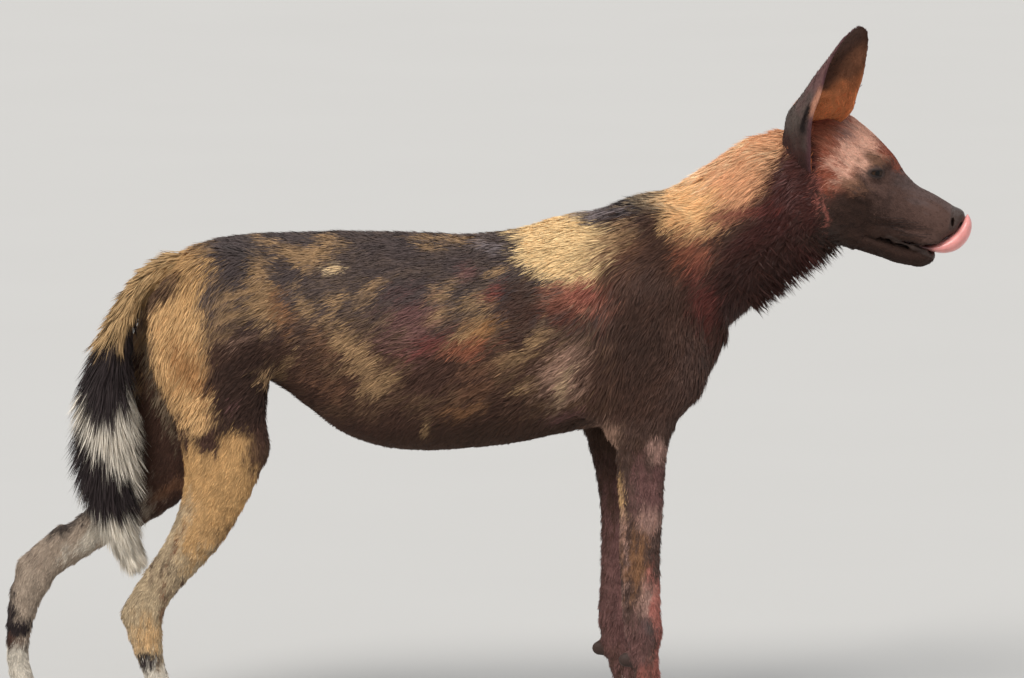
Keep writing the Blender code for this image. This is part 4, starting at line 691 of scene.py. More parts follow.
def surface_of(field):
    """Points and quads of the field's zero surface: one point in each cell that it crosses."""
    value = field.value
    inside = value < 0
    for k in range(3):
        for end in (0, -1):
            wall = [slice(None)] * 3
            wall[k] = end
            inside[tuple(wall)] = False
    cells = np.array(value.shape) - 1
    count = np.zeros(cells, np.int8)
    for c in CORNERS:
        count += inside[c[0] : c[0] + cells[0], c[1] : c[1] + cells[1], c[2] : c[2] + cells[2]]
    at = np.argwhere((count > 0) & (count < 8))
    number = np.full(cells, -1, np.int32)
    number[tuple(at.T)] = np.arange(len(at))
    corner = np.stack([value[tuple((at + c).T)] for c in CORNERS], axis=1)
    filled = np.stack([inside[tuple((at + c).T)] for c in CORNERS], axis=1)
    total, hits = np.zeros((len(at), 3)), np.zeros(len(at))
    for a, b in EDGES:
        crossed = filled[:, a] != filled[:, b]
        fa, fb = corner[crossed, a], corner[crossed, b]
        share = np.clip(fa / np.where(fa == fb, 1, fa - fb), 0, 1)[:, None]
        total[crossed] += CORNERS[a] + share * (CORNERS[b] - CORNERS[a])
        hits[crossed] += 1
    where = at + total / hits[:, None]
    points = [np.interp(where[:, k], np.arange(len(axis)), axis) for k, axis in enumerate(field.axes)]
    quads = []
    for k in range(3):
        step = [0, 0, 0]
        step[k] = 1
        first = inside[: cells[0] + 1 - step[0], : cells[1] + 1 - step[1], : cells[2] + 1 - step[2]]
        second = inside[step[0] :, step[1] :, step[2] :]
        for rising in (True, False):
            edge = np.argwhere(first & ~second if rising else ~first & second)
            ring = [number[tuple((edge + offset).T)] for offset in AROUND[k]]
            quads.append(np.stack(ring if rising else ring[::-1], axis=1))
    return np.stack(points, axis=1), np.concatenate(quads)


# Noise and clumps are worked out in a turned frame, so that no row of theirs lines up with the body
TURNED = np.array(Matrix.Rotation(0.61, 3, "X") @ Matrix.Rotation(0.47, 3, "Y") @ Matrix.Rotation(0.79, 3, "Z"))


def lattice(i, j, k, seed):
    """A fixed random number from 0 to 1 for each point of a lattice."""
    mixed = (i * 73856093) ^ (j * 19349663) ^ (k * 83492791) ^ (seed * 40503)
    mixed = (mixed ^ (mixed >> 13)) * 1274126177
    return ((mixed ^ (mixed >> 16)) & 0xFFFFFF) / float(0xFFFFFF)


def noise(points, size, seed):
    """Smooth noise from 0 to 1, with features of about this size: one length, or one for each axis."""
    at = (points / np.asarray(size, float)) @ TURNED
    cell = np.floor(at).astype(np.int64)
    part = at - cell
    part = part * part * (3 - 2 * part)
    total = np.zeros(len(points))
    for i, j, k in CORNERS:
        weight = np.ones(len(points))
        for axis, near in enumerate((i, j, k)):
            weight *= part[:, axis] if near else 1 - part[:, axis]
        total += weight * lattice(cell[:, 0] + i, cell[:, 1] + j, cell[:, 2] + k, seed)
    return total


def linear(colour):
    """Screen colour, three numbers up to 255, as light."""
    share = np.asarray(colour, float) / 255
    return np.where(share <= 0.04045, share / 12.92, ((share + 0.055) / 1.055) ** 2.4)


def plain(name, count):
    """One tone for each of this many points."""
    return np.tile(linear(TONES[name]), (count, 1))


def lay(colour, amount, name):
    """Lays a tone over the points' colours, as thick as the amount at each."""
    colour += amount[:, None] * (linear(TONES[name]) - colour)


def ear_grid(side, count_up, count_round):
    """Rows of points from the ear's root to its tip, each from the inner margin round the back to the outer one."""
    rows = resampled([(r[1], r[2], r[0], r[3], r[4]) for r in EAR], count_up)
    opening = Vector((math.cos(EAR_TURN), side * math.sin(EAR_TURN), 0))
    across = Vector((math.sin(EAR_TURN), -side * math.cos(EAR_TURN), 0))
    root = Vector((0, side * EAR_ROOT[0], EAR_ROOT[1]))
    lean = Matrix.Rotation(-side * EAR_LEAN[side], 3, "X")
    grid = []
    for i, (x, out, up, wide, deep) in enumerate(rows):
        share = i / (count_up - 1)
        sweep = math.radians(112 - 30 * share)
        row = []
        tucked = 0.42 + 0.58 * float(ramp(share, 0.16, 0.48))
        for j in range(count_round):
            angle = -sweep * tucked + (1 + tucked) * sweep * j / (count_round - 1)
            offset = across * (-wide * math.sin(angle)) - opening * (deep * math.cos(angle))
            offset *= EAR_SIZE[side]
            middle = Vector((x + EAR_SHIFT[side], side * out, up * EAR_HEIGHT[side]))
            row.append(root + lean @ (middle + offset))
        grid.append(row)
    return grid


def combed(points, turn, size, seed):
    """Streaks from 0 to 1 that run along the body at this slope in degrees."""
    cos, sin = math.cos(math.radians(turn)), math.sin(math.radians(turn))
    x, y, z = points.T
    along = np.stack([x * cos + z * sin, y, z * cos - x * sin], axis=1)
    return ramp(noise(along, size, seed), 0.15, 0.85)


def streaks_of(points, size, seed):
    """Streaks that follow the coat: down the legs, back and down over the rest, and up the head from the nose."""
    head, _, leg, _ = shares(points[:, 0], points[:, 2])
    made = combed(points, STREAK["body"], size, seed)
    made += head * (combed(points, STREAK["head"], size, seed) - made)
    return made + leg * (combed(points, STREAK["leg"], size, seed) - made)


def marked(points, marks, colour):
    """Lays markings over a colour. The softer a marking's edge is, the more the coat's streaks break it up."""
    shift = [noise(points, 0.016, seed) + 0.5 * noise(points, 0.005, seed + 7) for seed in (21, 22)]
    x = points[:, 0] + (shift[0] - 0.75) * 2 * WOBBLE
    z = points[:, 2] + (shift[1] - 0.75) * 2 * WOBBLE
    streak = 0.6 * streaks_of(points, (0.024, 0.005, 0.0045), 23)
    streak = streak + 0.4 * streaks_of(points, (0.012, 0.003, 0.002), 24)
    for side, at_x, at_z, long, high, turn, edge, tone in marks:
        cos, sin = math.cos(math.radians(turn)), math.sin(math.radians(turn))
        dx, dz = x - at_x, z - at_z
        far = np.hypot((dx * cos + dz * sin) / long, (dz * cos - dx * sin) / high)
        amount = 1 - ramp(far + (streak - 0.5) * 2.2 * edge, 1 - edge, 1 + edge)
        amount *= 1 - 0.7 * max(edge - 0.40, 0)
        if side:
            amount *= ramp(points[:, 1] * side, -0.008, 0.012)
        lay(colour, amount, tone)
    return colour


def coat_tone(points):
    """The coat's colour at places on the body."""
    x, y, z = points.T
    colour = plain("brown_black", len(points))
    near_legs = ramp(z, 0.440, 0.400) * ramp(-y, -0.005, 0.010)
    fore = ramp(x, 0.060, 0.100)
    lay(colour, near_legs * fore, "foreleg")
    # The upper body takes the bluish black: the black coat with a painted sheen where light falls from above
    high = ramp(z, 0.500, 0.590) * ramp(x, 0.190, 0.120)
    lay(colour, high * 0.9, "black_painted_sheen")
    flank = ramp(z, 0.400, 0.460) * ramp(x, 0.190, 0.120)
    left = ramp(y, -0.010, 0.030)
    clear = np.maximum(0.75 * ramp(x, -0.190, -0.250), 0.65 * ramp(z, 0.575, 0.625))
    flank = flank * (1 - (1 - left) * clear)
    ticks = combed(points, STREAK["body"], (0.014, 0.004, 0.0028), 25)
    ticks = ticks * ramp(noise(points, 0.030, 3), 0.30, 0.70)
    lay(colour, flank * ticks * (0.30 + 0.25 * left), "tan")
    spots = ramp(noise(points, (0.034, 0.030, 0.020), 5), 0.58, 0.78) * left * flank
    lay(colour, 0.8 * spots, "tan")
    colour = marked(points, MARKS, colour)
    streaks = streaks_of(points, (0.016, 0.004, 0.004), 8) * 0.6 + noise(points, 0.0035, 9) * 0.4
    even = 0.6 * ramp(beyond(x, z, HEAD_LINE), 0.060, 0.110)
    return colour * (1 + (0.56 * streaks - 0.28) * (1 - even))[:, None]


def tail_tone(points):
    """The tail's colour at places along it: bands with ragged ends."""
    x, _, z = points.T
    ragged = (noise(points, (0.006, 0.006, 0.030), 31) - 0.5) * 0.036
    slope = ramp(z, 0.415, 0.385) * ramp(z, 0.285, 0.315)
    height = z + ragged + 0.80 * (x + 0.510) * slope
    height -= 0.026 * np.clip(((x + 0.505) / 0.036) ** 2, 0, 1.5) * ramp(z, 0.365, 0.395)
    colour = plain(TAIL_BANDS[0][1], len(points))
    for (end, _), (_, tone) in zip(TAIL_BANDS[:-1], TAIL_BANDS[1:]):
        lay(colour, ramp(-height, -end - 0.006, -end + 0.006), tone)
    rear = ramp(-x, 0.495, 0.520) * ramp(z, 0.350, 0.400)
    grey = rear * ramp(noise(points, (0.008, 0.008, 0.040), 33), 0.5, 0.7) * ramp(z, 0.42, 0.40)
    lay(colour, grey * 0.4, "black")
    streaks = noise(points, (0.004, 0.004, 0.020), 34)
    return colour * (0.65 + 0.70 * streaks)[:, None]


def add_legs(field):
    for name, (stations, side, count) in LIMBS.items():
        rows = np.asarray(stations)
        low = rows[:, :3].min(axis=0) - LEG_MARGIN
        high = rows[:, :3].max(axis=0) + LEG_MARGIN
        ends = sorted((side * -LEG_INNER, side * LEG_OUTER))
        low[1], high[1] = ends
        cuts = field.window(low, high)
        leg = Field(*(axis[cut] for axis, cut in zip(field.axes, cuts)))
        for piece in limb(stations, side, count):
            leg.combine(piece, 0.004)
        x, y, size = FEET[name]
        for piece in paw(x, y, size):
            leg.combine(piece, 0.005)
        for piece in leg_details(name, side):
            leg.combine(piece, 0.010)
        field.value[cuts] = soft_union(field.value[cuts], leg.value, 0.022)


def add_tail_core(field):
    rows = [(*row[:3], row[3] * TAIL_CORE, row[3] * TAIL_CORE) for row in TAIL_ROWS]
    for a, b in zip(rows[:-1], rows[1:]):
        field.combine(Stretch(a, b), 0.006)


def add_line(field, places, deep, wide, blend):
    """A round ridge through places on the head."""
    for a, b in zip(places[:-1], places[1:]):
        field.combine(Stretch((*a, deep, wide), (*b, deep, wide)), blend)


def add_head_mass(field):
    field.combine(Loft(HEAD_ROOT, HEAD_PITCH, SKULL, narrow=0.16, end=0.0075), 0.028)
    field.combine(Loft(HEAD_ROOT, HEAD_PITCH, JAW_REAR, narrow=-0.10, end=0.0085), 0.012)
    for side in (-1, 1):
        cheek = head_point(0.020, -0.024, 0.040, side)
        field.combine(Blob(cheek, (0.046, 0.026, 0.040), HEAD_PITCH), 0.014)
        add_line(field, [head_point(*p, side) for p in ARCH], 0.012, 0.010, 0.012)
        brow = head_point(0.0630, 0.0595, 0.0275, side)
        field.combine(Blob(brow, (0.020, 0.012, 0.0095), HEAD_PITCH - 0.3), 0.014)
        field.combine(Blob((0.426, side * 0.043, 0.762), (0.034, 0.025, 0.036)), 0.026)
        add_line(field, [head_point(*p, side) for p in LIP], 0.0065, 0.0050, 0.008)
    jaw = Field(*field.axes)
    jaw.combine(Loft(HEAD_ROOT, HEAD_PITCH, JAW, narrow=-0.10, end=0.0062), 0.0)
    for side in (-1, 1):
        add_line(jaw, [head_point(*p, side) for p in LOWER_LIP], 0.0030, 0.0026, 0.008)
    jaw.combine(Blob(head_point(0.168, -0.0405, 0.0), (0.0180, 0.0150, 0.0120), HEAD_PITCH), 0.008)
    field.value = soft_union(field.value, jaw.value, 0.0005)
    # Flesh joins the jaws inside the mouth; build_skin paints it dark as the shade within
    a, b = head_point(0.095, -0.035, 0.0), head_point(0.150, -0.036, 0.0)
    field.combine(Stretch((*a, 0.012, 0.013), (*b, 0.009, 0.009)), 0.002)
    for side in (-1, 1):
        corner = head_point(0.095, -0.0350, 0.0315, side)
        field.combine(Blob(corner, (0.0150, 0.0070, 0.0070), HEAD_PITCH), 0.004)


def add_head_details(field):
    """The nose, lids and nostrils, which no coat covers."""
    nose = head_point(0.1915, 0.0265, 0.0)
    field.combine(Blob(nose, (0.0110, 0.0165, 0.0125), HEAD_PITCH), 0.006)
    for side in (-1, 1):
        socket = head_point(EYE_AT[0] + 0.010, EYE_AT[1], EYE_AT[2] + 0.0175, side)
        field.combine(Blob(socket, (0.018, 0.011, 0.013), HEAD_PITCH), 0.012, carve=True)
        eye = head_point(*EYE_AT, side)
        lids = EYE_RADIUS + 0.0020
        field.combine(Blob(eye, (lids, lids, lids)), 0.007)
        look = head_direction(*EYE_LOOK, side)
        opening = eye + look * (EYE_RADIUS + 0.002)
        yaw = math.atan2(look.y, look.x)
        field.combine(Blob(opening, (0.0075, 0.0117, 0.0047), 0.0, yaw), 0.0008, carve=True)
        hole = head_point(*NOSTRIL_AT, side)
        field.combine(Blob(hole, (0.0085, 0.0036, 0.0048), HEAD_PITCH, side * 0.5), 0.0015, carve=True)
        slit = head_point(0.1880, 0.0210, 0.0185, side)
        field.combine(Blob(slit, (0.0019, 0.0055, 0.0062), HEAD_PITCH + 0.35), 0.001, carve=True)


def skin_surface():
    """The body's skin in one piece, finer over the head."""
    field = Field(
        graded((-0.645, 0.400, 0.0034), (0.400, 0.660, 0.0014)),
        graded((-0.120, -0.068, 0.0034), (-0.068, 0.068, 0.0017), (0.068, 0.122, 0.0034)),
        graded((-0.0013, 0.600, 0.0034), (0.600, 0.860, 0.0014)),
    )
    add_trunk(field)
    add_legs(field)
    add_tail_core(field)
    add_head_mass(field)
    x, z = field.axes[0][:, None], field.axes[2][None, :]
    field.value += coat_depth(x, z).astype(np.float32)[:, None, :]
    add_head_details(field)
    return surface_of(field)


def ear_sheet(side):
    """The ear's two faces as one closed sheet: points, quads, and each point's place up it, round it and its face."""
    grid = np.array([[tuple(p) for p in row] for row in ear_grid(side, EAR_UP, EAR_ROUND)])
    along = np.gradient(grid, axis=1)
    up = np.gradient(grid, axis=0)
    normal = np.cross(along, up)
    normal /= np.linalg.norm(normal, axis=2, keepdims=True)
    share_up = np.linspace(0, 1, EAR_UP)[:, None] * np.ones((1, EAR_ROUND))
    share_round = np.linspace(-1, 1, EAR_ROUND)[None, :] * np.ones((EAR_UP, 1))
    edge = np.minimum(1 - np.abs(share_round), (1 - share_up) * 1.2)
    thick = EAR_SKIN * (0.35 + 0.65 * ramp(edge, 0.0, 0.16))
    ridges = 0.0012 * np.sin(share_round * 9.0 + 0.6) * ramp(share_up, 0.02, 0.15) * ramp(share_up, 0.75, 0.35)
    outer = grid - normal * (0.0004 + 0.0006 * ramp(edge, 0.1, 0.0))[..., None]
    inner = outer - normal * (thick + ridges * ramp(edge, 0.05, 0.25))[..., None]
    outer = outer.reshape(-1, 3)
    inner = inner.reshape(-1, 3)
    number = np.arange(EAR_UP * EAR_ROUND).reshape(EAR_UP, EAR_ROUND)
    face = np.stack([number[:-1, :-1], number[:-1, 1:], number[1:, 1:], number[1:, :-1]], axis=-1).reshape(-1, 4)
    back = face[:, ::-1] + len(outer)
    rim = np.concatenate([number[0, :], number[1:, -1], number[-1, -2::-1], number[-2:0:-1, 0]])
    after = np.roll(rim, -1)
    wall = np.stack([rim, rim + len(outer), after + len(outer), after], axis=1)
    quads = np.concatenate([face, back, wall])
    if side > 0:
        quads = quads[:, ::-1]
    return np.concatenate([outer, inner]), quads, normal.reshape(-1, 3), share_up.ravel(), share_round.ravel()


def ear_tone(points, share_up, share_round, inside):
    """The ear's colour by its place on it."""
    patchy = noise(points, 0.014, 51)
    colour = plain("ear", len(points))
    top = ramp(share_up + 0.2 * (patchy - 0.5), 0.50, 0.72)
    lay(colour, top, "ear_top")
    low = ramp(share_up + 0.16 * (patchy - 0.5), 0.42, 0.27)
    lay(colour, low, "ear_low")
    rim = ramp(np.maximum(np.abs(share_round), share_up), 0.88, 0.99)
    lay(colour, rim, "ear_rim")
    deep = plain("ear_deep", len(points))
    edge = ramp(-share_round, 0.20, 0.72) * ramp(share_up, 0.92, 0.76)
    lay(deep, edge * (0.6 + 0.4 * patchy), "ear_edge")
    # The orange base inside the ear is its own colour made brighter as painted light, where the ear's cup shades it
    warm = ramp(share_up + 0.16 * share_round + 0.2 * (patchy - 0.5), 0.58, 0.34)
    lay(deep, warm, "ear_inside")
    colour += inside[:, None] * (deep - colour)
    pouch = ramp(share_up, 0.48, 0.56) * ramp(share_up, 0.72, 0.64)
    lip = pouch * ramp(share_round + 0.1 * (patchy - 0.5), 0.82, 0.92)
    lay(colour, lip, "ear_pouch")
    # The pouch's slit is painted near black: painted shade inside the fold
    slit = ramp(share_up, 0.38, 0.42) * ramp(share_up, 0.60, 0.55)
    slit = slit * ramp(np.abs(share_round - 0.86), 0.07, 0.04)
    lay(colour, slit * (1 - inside), "ear_slit_shade")
    streaks = noise(points, (0.004, 0.004, 0.012), 52)
    return colour * (0.75 + 0.50 * streaks)[:, None]


def mesh_of(name, points, loops, starts):
    """A smooth mesh from points, the point at each corner of its faces, and the corner that each face starts at."""
    mesh = bpy.data.meshes.new(name)
    mesh.vertices.add(len(points))
    mesh.vertices.foreach_set("co", np.asarray(points, np.float32).ravel())
    mesh.loops.add(loops.size)
    mesh.loops.foreach_set("vertex_index", loops.astype(np.int32).ravel())
    mesh.polygons.add(starts.size)
    mesh.polygons.foreach_set("loop_start", starts.astype(np.int32).ravel())
    mesh.update(calc_edges=True)
    mesh.polygons.foreach_set("use_smooth", np.ones(starts.size, bool))
    return mesh


def quad_mesh(name, sheets):
    """One mesh from sheets of points and quads."""
    counts = np.cumsum([0] + [len(points) for points, _ in sheets])
    points = np.concatenate([points for points, _ in sheets])
    quads = np.concatenate([quads + count for (_, quads), count in zip(sheets, counts)])
    return mesh_of(name, points, quads, np.arange(0, quads.size, 4))


def paint(mesh, colours, gloss):
    """Stores each point's colour, with how wet it is in place of the alpha."""
    layer = mesh.color_attributes.new(name="tone", type="FLOAT_COLOR", domain="POINT")
    values = np.concatenate([colours, gloss[:, None]], axis=1)
    layer.data.foreach_set("color", values.astype(np.float32).ravel())


def shown(name, mesh, material, *nodes):
    """A piece of the animal, set where the solids are, that takes the place of these nodes."""
    piece = bpy.data.objects.new(name, mesh)
    bpy.context.scene.collection.objects.link(piece)
    piece.location = -Vector(CENTRE)
    mesh.materials.clear()
    mesh.materials.append(material)
    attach(piece, "root")
    if nodes:
        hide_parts(*nodes)
    return piece


def head_places(points):
    """Places along the head, up from its axis and out to the side."""
    dx, dz = points[:, 0] - HEAD_ROOT[0], points[:, 2] - HEAD_ROOT[1]
    cos, sin = math.cos(HEAD_PITCH), math.sin(HEAD_PITCH)
    return dx * cos + dz * sin, dz * cos - dx * sin, np.abs(points[:, 1])


def eye_axes(side):
    """An eye's middle, the way it looks, and the ways to its front corner and its upper lid."""
    eye = np.array(head_point(*EYE_AT, side))
    look = np.array(head_direction(*EYE_LOOK, side))
    front = np.array((1.0, 0.0, -0.10))
    front -= look * (front @ look)
    front /= np.linalg.norm(front)
    top = np.cross(front, look)
    return eye, look, front, top * np.sign(top[2])


def bareness(points):
    """1 where the skin is bare: the nose, the lids, the lips and the pads."""
    along, up, out = head_places(points)
    bare = ramp(along + 0.30 * (up - 0.02), 0.182, 0.186) * ramp(up, 0.006, 0.012)
    for side in (-1, 1):
        eye, look, front, top = eye_axes(side)
        d = points - eye
        round_eye = np.hypot(d @ front / 0.0128, d @ top / 0.0075)
        bare = np.maximum(bare, ramp(round_eye, 1.15, 0.90) * ramp(d @ look, 0.001, 0.003))
    lips = ramp(np.abs(up + 0.0310), 0.0036, 0.0024) * ramp(along, 0.112, 0.122)
    for name in ("foreleg_right", "foreleg_left"):
        wrist = LIMBS[name][0][7]
        d = points - (wrist[0] - 0.024, LIMBS[name][1] * 0.050, wrist[2] - 0.042)
        bare = np.maximum(bare, ramp(np.linalg.norm(d, axis=1), 0.0135, 0.0110))
    return np.maximum(np.maximum(bare, lips), ramp(points[:, 2], 0.008, 0.005))


def wetness(points):
    """How wet the coat is: the throat, the collar and the right arm."""
    x, y, z = points.T
    throat = ramp(beyond(x, z, NECK_LINE), 0.0, 0.05) * ramp(z - 0.9 * (x - 0.300), 0.720, 0.660)
    throat *= ramp(beyond(x, z, HEAD_LINE), 0.045, 0.000)
    arm = ramp(z, 0.420, 0.300) * ramp(x, 0.060, 0.100) * 0.5
    return np.maximum(throat, arm)


def build_skin(material):
    points, quads = skin_surface()
    colours = coat_tone(points)
    on_tail = tail_share(points)
    colours += on_tail[:, None] * (tail_tone(points) - colours)
    bare = bareness(points)
    lay(colours, bare, "bare")
    along, up, out = head_places(points)
    # The inside of the mouth, where the jaws are joined, is painted dark as the shade within it
    mouth = ramp(np.abs(up + 0.036), 0.012, 0.008) * ramp(out, 0.020, 0.015) * ramp(along, 0.080, 0.090)
    mouth *= ramp(along, 0.172, 0.165)
    lay(colours, mouth, "mouth")
    gloss = np.maximum(wetness(points) * 0.6, bare * (0.4 + 0.6 * ramp(along, 0.150, 0.175)))
    # The skin is darkened as painted shade under the coat
    sheets, tones, wets = [(points, quads)], [colours * SKIN_SHADE], [gloss]
    ears = {}
    for side in (-1, 1):
        ear, ear_quads, normal, share_up, share_round = ear_sheet(side)
        half = len(ear) // 2
        inside = np.repeat([0.0, 1.0], half)
        tone = ear_tone(ear, np.tile(share_up, 2), np.tile(share_round, 2), inside)
        ears[side] = (ear, normal, share_up, share_round)
        sheets.append((ear, ear_quads))
        # The ears' skin too, darkened as painted shade under their hair
        tones.append(tone * SKIN_SHADE)
        wets.append(np.full(len(ear), 0.15))
    mesh = quad_mesh("skin", sheets)
    paint(mesh, np.concatenate(tones), np.concatenate(wets))
    shown("skin", mesh, material, *FLESH)
    return points, quads, ears


def tail_share(points):
    """1 on the tail, 0 elsewhere."""
    x, y, z = points.T
    near = np.full(len(points), FAR)
    where = (x < -0.395) & (np.abs(y) < 0.030)
    chosen = points[where]
    least = np.full(len(chosen), FAR)
    for row in TAIL_ROWS:
        gap = np.hypot(chosen[:, 0] - row[0], chosen[:, 2] - row[2]) - row[3] * TAIL_CORE
        least = np.minimum(least, gap)
    near[where] = least
    return ramp(near, 0.010, 0.002) * ramp(z - x * 0.8, 0.960, 0.940)


def lie(points, normals):
    """The way the coat lies at places on the body."""
    x, y, z = points.T
    head, neck, leg, foot = shares(x, z)
    along, up, _ = head_places(points)

    def turned(way, share, other):
        return way + share[:, None] * (np.array(other) - way)

    way = np.tile(np.array((-1.0, 0.0, -0.48)), (len(points), 1))
    way = turned(way, ramp(z, 0.560, 0.440) * ramp(x, 0.10, 0.0), (-1.0, 0.0, -0.62))
    way = turned(way, ramp(x, -0.300, -0.380), (-0.45, 0.0, -1.0))
    way = turned(way, ramp(x, 0.090, 0.170) * ramp(z, 0.660, 0.580), (-0.40, 0.0, -1.0))
    way = turned(way, neck, (-0.82, 0.0, -0.58))
    throat = neck * ramp(-normals[:, 2] - 0.25 * np.abs(normals[:, 1]), -0.05, 0.50)
    way = turned(way, throat, (0.25, 0.0, -0.95))
    way = turned(way, head, (-0.906, 0.0, 0.423))
    way = turned(way, head * ramp(along, 0.085, 0.020) * ramp(up, 0.045, 0.000), (-0.80, 0.0, -0.55))
    way = turned(way, leg, (-0.10, 0.0, -1.0))
    way = turned(way, leg * ramp(x, -0.250, -0.300) * ramp(z, 0.150, 0.210), (-0.45, 0.0, -0.9))
    way = turned(way, foot, (0.75, 0.0, -0.65))
    swirl = [noise(points, 0.030, seed) - 0.5 for seed in (61, 62, 63)]
    way += np.stack(swirl, axis=1) * (0.55 * (1 - 0.6 * head))[:, None]
    way -= normals * (way * normals).sum(axis=1)[:, None]
    return way / np.maximum(np.linalg.norm(way, axis=1), 1e-6)[:, None]


def sown(points, quads, normals, wanted, seed):
    """Places spread over the quads, as many on each as its wanted number: places and normals."""
    rng = np.random.default_rng(seed)
    total = np.cumsum(wanted)
    count = int(total[-1])
    pick = np.searchsorted(total, (np.arange(count) + rng.random(count)) * (total[-1] / count))
    pick = np.minimum(pick, len(quads) - 1)
    a, b = rng.random(count)[:, None], rng.random(count)[:, None]
    corner = quads[pick]
    weights = ((1 - a) * (1 - b), a * (1 - b), a * b, (1 - a) * b)
    place = sum(w * points[corner[:, k]] for k, w in enumerate(weights))
    normal = sum(w * normals[corner[:, k]] for k, w in enumerate(weights))
    return place, normal / np.linalg.norm(normal, axis=1)[:, None]


def tuft_mesh(name, roots, normals, ways, length, width, bend, tones, gloss, charts, levels, seed):
    """Thin tapered blades, each curved along its way, with two points at each level and one at the tip."""
    rng = np.random.default_rng(seed)
    count = len(roots)
    across = np.cross(ways, normals)
    across /= np.maximum(np.linalg.norm(across, axis=1), 1e-6)[:, None]
    roll = rng.normal(0, ROLL, count)[:, None]
    across = across * np.cos(roll) + normals * np.sin(roll)
    per = 2 * levels + 1
    points = np.empty((count, per, 3))
    colours = np.empty((count, per, 3))
    places = np.empty((count, per, 2))
    for level in range(levels + 1):
        share = level / levels
        centre = roots + ways * (length * share)[:, None] + bend * (length * share * share)[:, None]
        # Painted shade: each blade darker towards its root
        shade = ROOT_SHADE + (1 - ROOT_SHADE) * min(1.0, 1.6 * share)
        half = (width * TAPER[levels][level] / 2)[:, None]
        for k, side in enumerate((-1, 1)):
            if level == levels and k:
                continue
            index = 2 * level + k
            points[:, index] = centre + across * half * side * (level < levels)
            colours[:, index] = tones * shade
            places[:, index] = charts + PATCH * np.array((0.5 if level == levels else k, share))
    faces = [(2 * i, 2 * i + 1, 2 * i + 3, 2 * i + 2) for i in range(levels - 1)]
    faces.append((2 * levels - 2, 2 * levels - 1, 2 * levels))
    pattern = np.concatenate([np.array(face) for face in faces])
    loops = np.arange(count)[:, None] * per + pattern[None, :]
    sizes = np.array([len(face) for face in faces])
    starts = np.concatenate([[0], np.cumsum(sizes)[:-1]])
    starts = np.arange(count)[:, None] * len(pattern) + starts[None, :]
    mesh = mesh_of(name, points.reshape(-1, 3), loops, starts)
    paint(mesh, colours.reshape(-1, 3), np.repeat(gloss, per))
    layer = mesh.uv_layers.new(name="OFBake")
    flat = places.reshape(-1, 2)[loops.ravel()]
    layer.data.foreach_set("uv", flat.astype(np.float32).ravel())
    return mesh


def clumped(roots, ways, length, size, strength, seed):
    """Leans each tuft's tip towards the middle of its clump: the bend that this adds."""
    drift = np.stack([noise(roots, 3 * size, seed + k) - 0.5 for k in (5, 6, 7)], axis=1) * 2.4 * size
    places = roots @ TURNED
    cell = np.floor((places + drift) / size).astype(np.int64)
    middle = np.stack([lattice(*cell.T, seed + k) for k in range(3)], axis=1)
    middle = (cell + 0.2 + 0.6 * middle) * size - drift
    pull = ((middle - places) @ TURNED.T) * np.asarray(strength)[:, None]
    pull -= ways * (pull * ways).sum(axis=1)[:, None]
    return pull / length[:, None]


def spread_out(values):
    """The values as shares of their range, kept a little inside 0 to 1."""
    low, high = values.min(), values.max()
    return 0.006 + 0.984 * (values - low) / max(high - low, 1e-6)


def faces_of(points, quads):
    """Middles, unit normals and areas of quads."""
    a, b, c, d = (points[quads[:, k]] for k in range(4))
    cross = np.cross(c - a, d - b) / 2
    area = np.linalg.norm(cross, axis=1)
    return (a + b + c + d) / 4, cross / np.maximum(area, 1e-12)[:, None], area


def point_normals(points, quads):
    _, normal, area = faces_of(points, quads)
    total = np.zeros((len(points), 3))
    for axis in range(3):
        for k in range(4):
            total[:, axis] += np.bincount(quads[:, k], normal[:, axis] * area, len(points))
    return total / np.maximum(np.linalg.norm(total, axis=1), 1e-12)[:, None]


def coat_length(points):
    along, up, _ = head_places(points)
    x, _, z = points.T
    head, neck, leg, _ = shares(x, z)
    length = blended(x, z, LENGTH)
    length += head * LONGER["back_of_head"] * ramp(along, 0.060, -0.010)
    length += LONGER["rump"] * ramp(x, -0.340, -0.400) * ramp(z, 0.400, 0.440)
    throat = ramp(beyond(x, z, NECK_LINE), 0.070, 0.100) * ramp(z - 0.9 * (x - 0.300), 0.640, 0.600)
    length -= SHORTER_THROAT * neck * throat
    length += LONGER["elbow"] * ramp(x, 0.130, 0.150) * ramp(x, 0.190, 0.170) * ramp(z, 0.440, 0.470)
    return length


def chart_of(region, points):
    """Places on the skin unrolled: along the region and round it, each a little inside 0 to 1."""
    x, y, z = points.T
    if region == "head":
        along, up, _ = head_places(points)
        return np.stack([spread_out(along), spread_out(np.arctan2(y, up - 0.01))], axis=1)
    if region == "neck":
        along = beyond(x, z, NECK_LINE)
        up = (z - NECK_ROOT[1]) * math.cos(NECK_PITCH) - (x - NECK_ROOT[0]) * math.sin(NECK_PITCH)
        return np.stack([spread_out(along), spread_out(np.arctan2(y, up + 0.02))], axis=1)
    if region in ("forelegs", "hindlegs"):
        turn = np.zeros(len(points))
        for name, (stations, side, _) in LIMBS.items():
            if name[:4] != region[:4]:
                continue
            rows = np.asarray(stations)[::-1]
            mine = y * side > 0
            middle = np.interp(z[mine], rows[:, 2], rows[:, 0])
            angle = np.arctan2(y[mine] - side * 0.052, x[mine] - middle) / (2 * math.pi) + 0.5
            turn[mine] = 0.5 * angle + (0.5 if side > 0 else 0.0)
        return np.stack([spread_out(z), spread_out(turn)], axis=1)
    return np.stack([spread_out(x), spread_out(np.arctan2(y, z - 0.53))], axis=1)


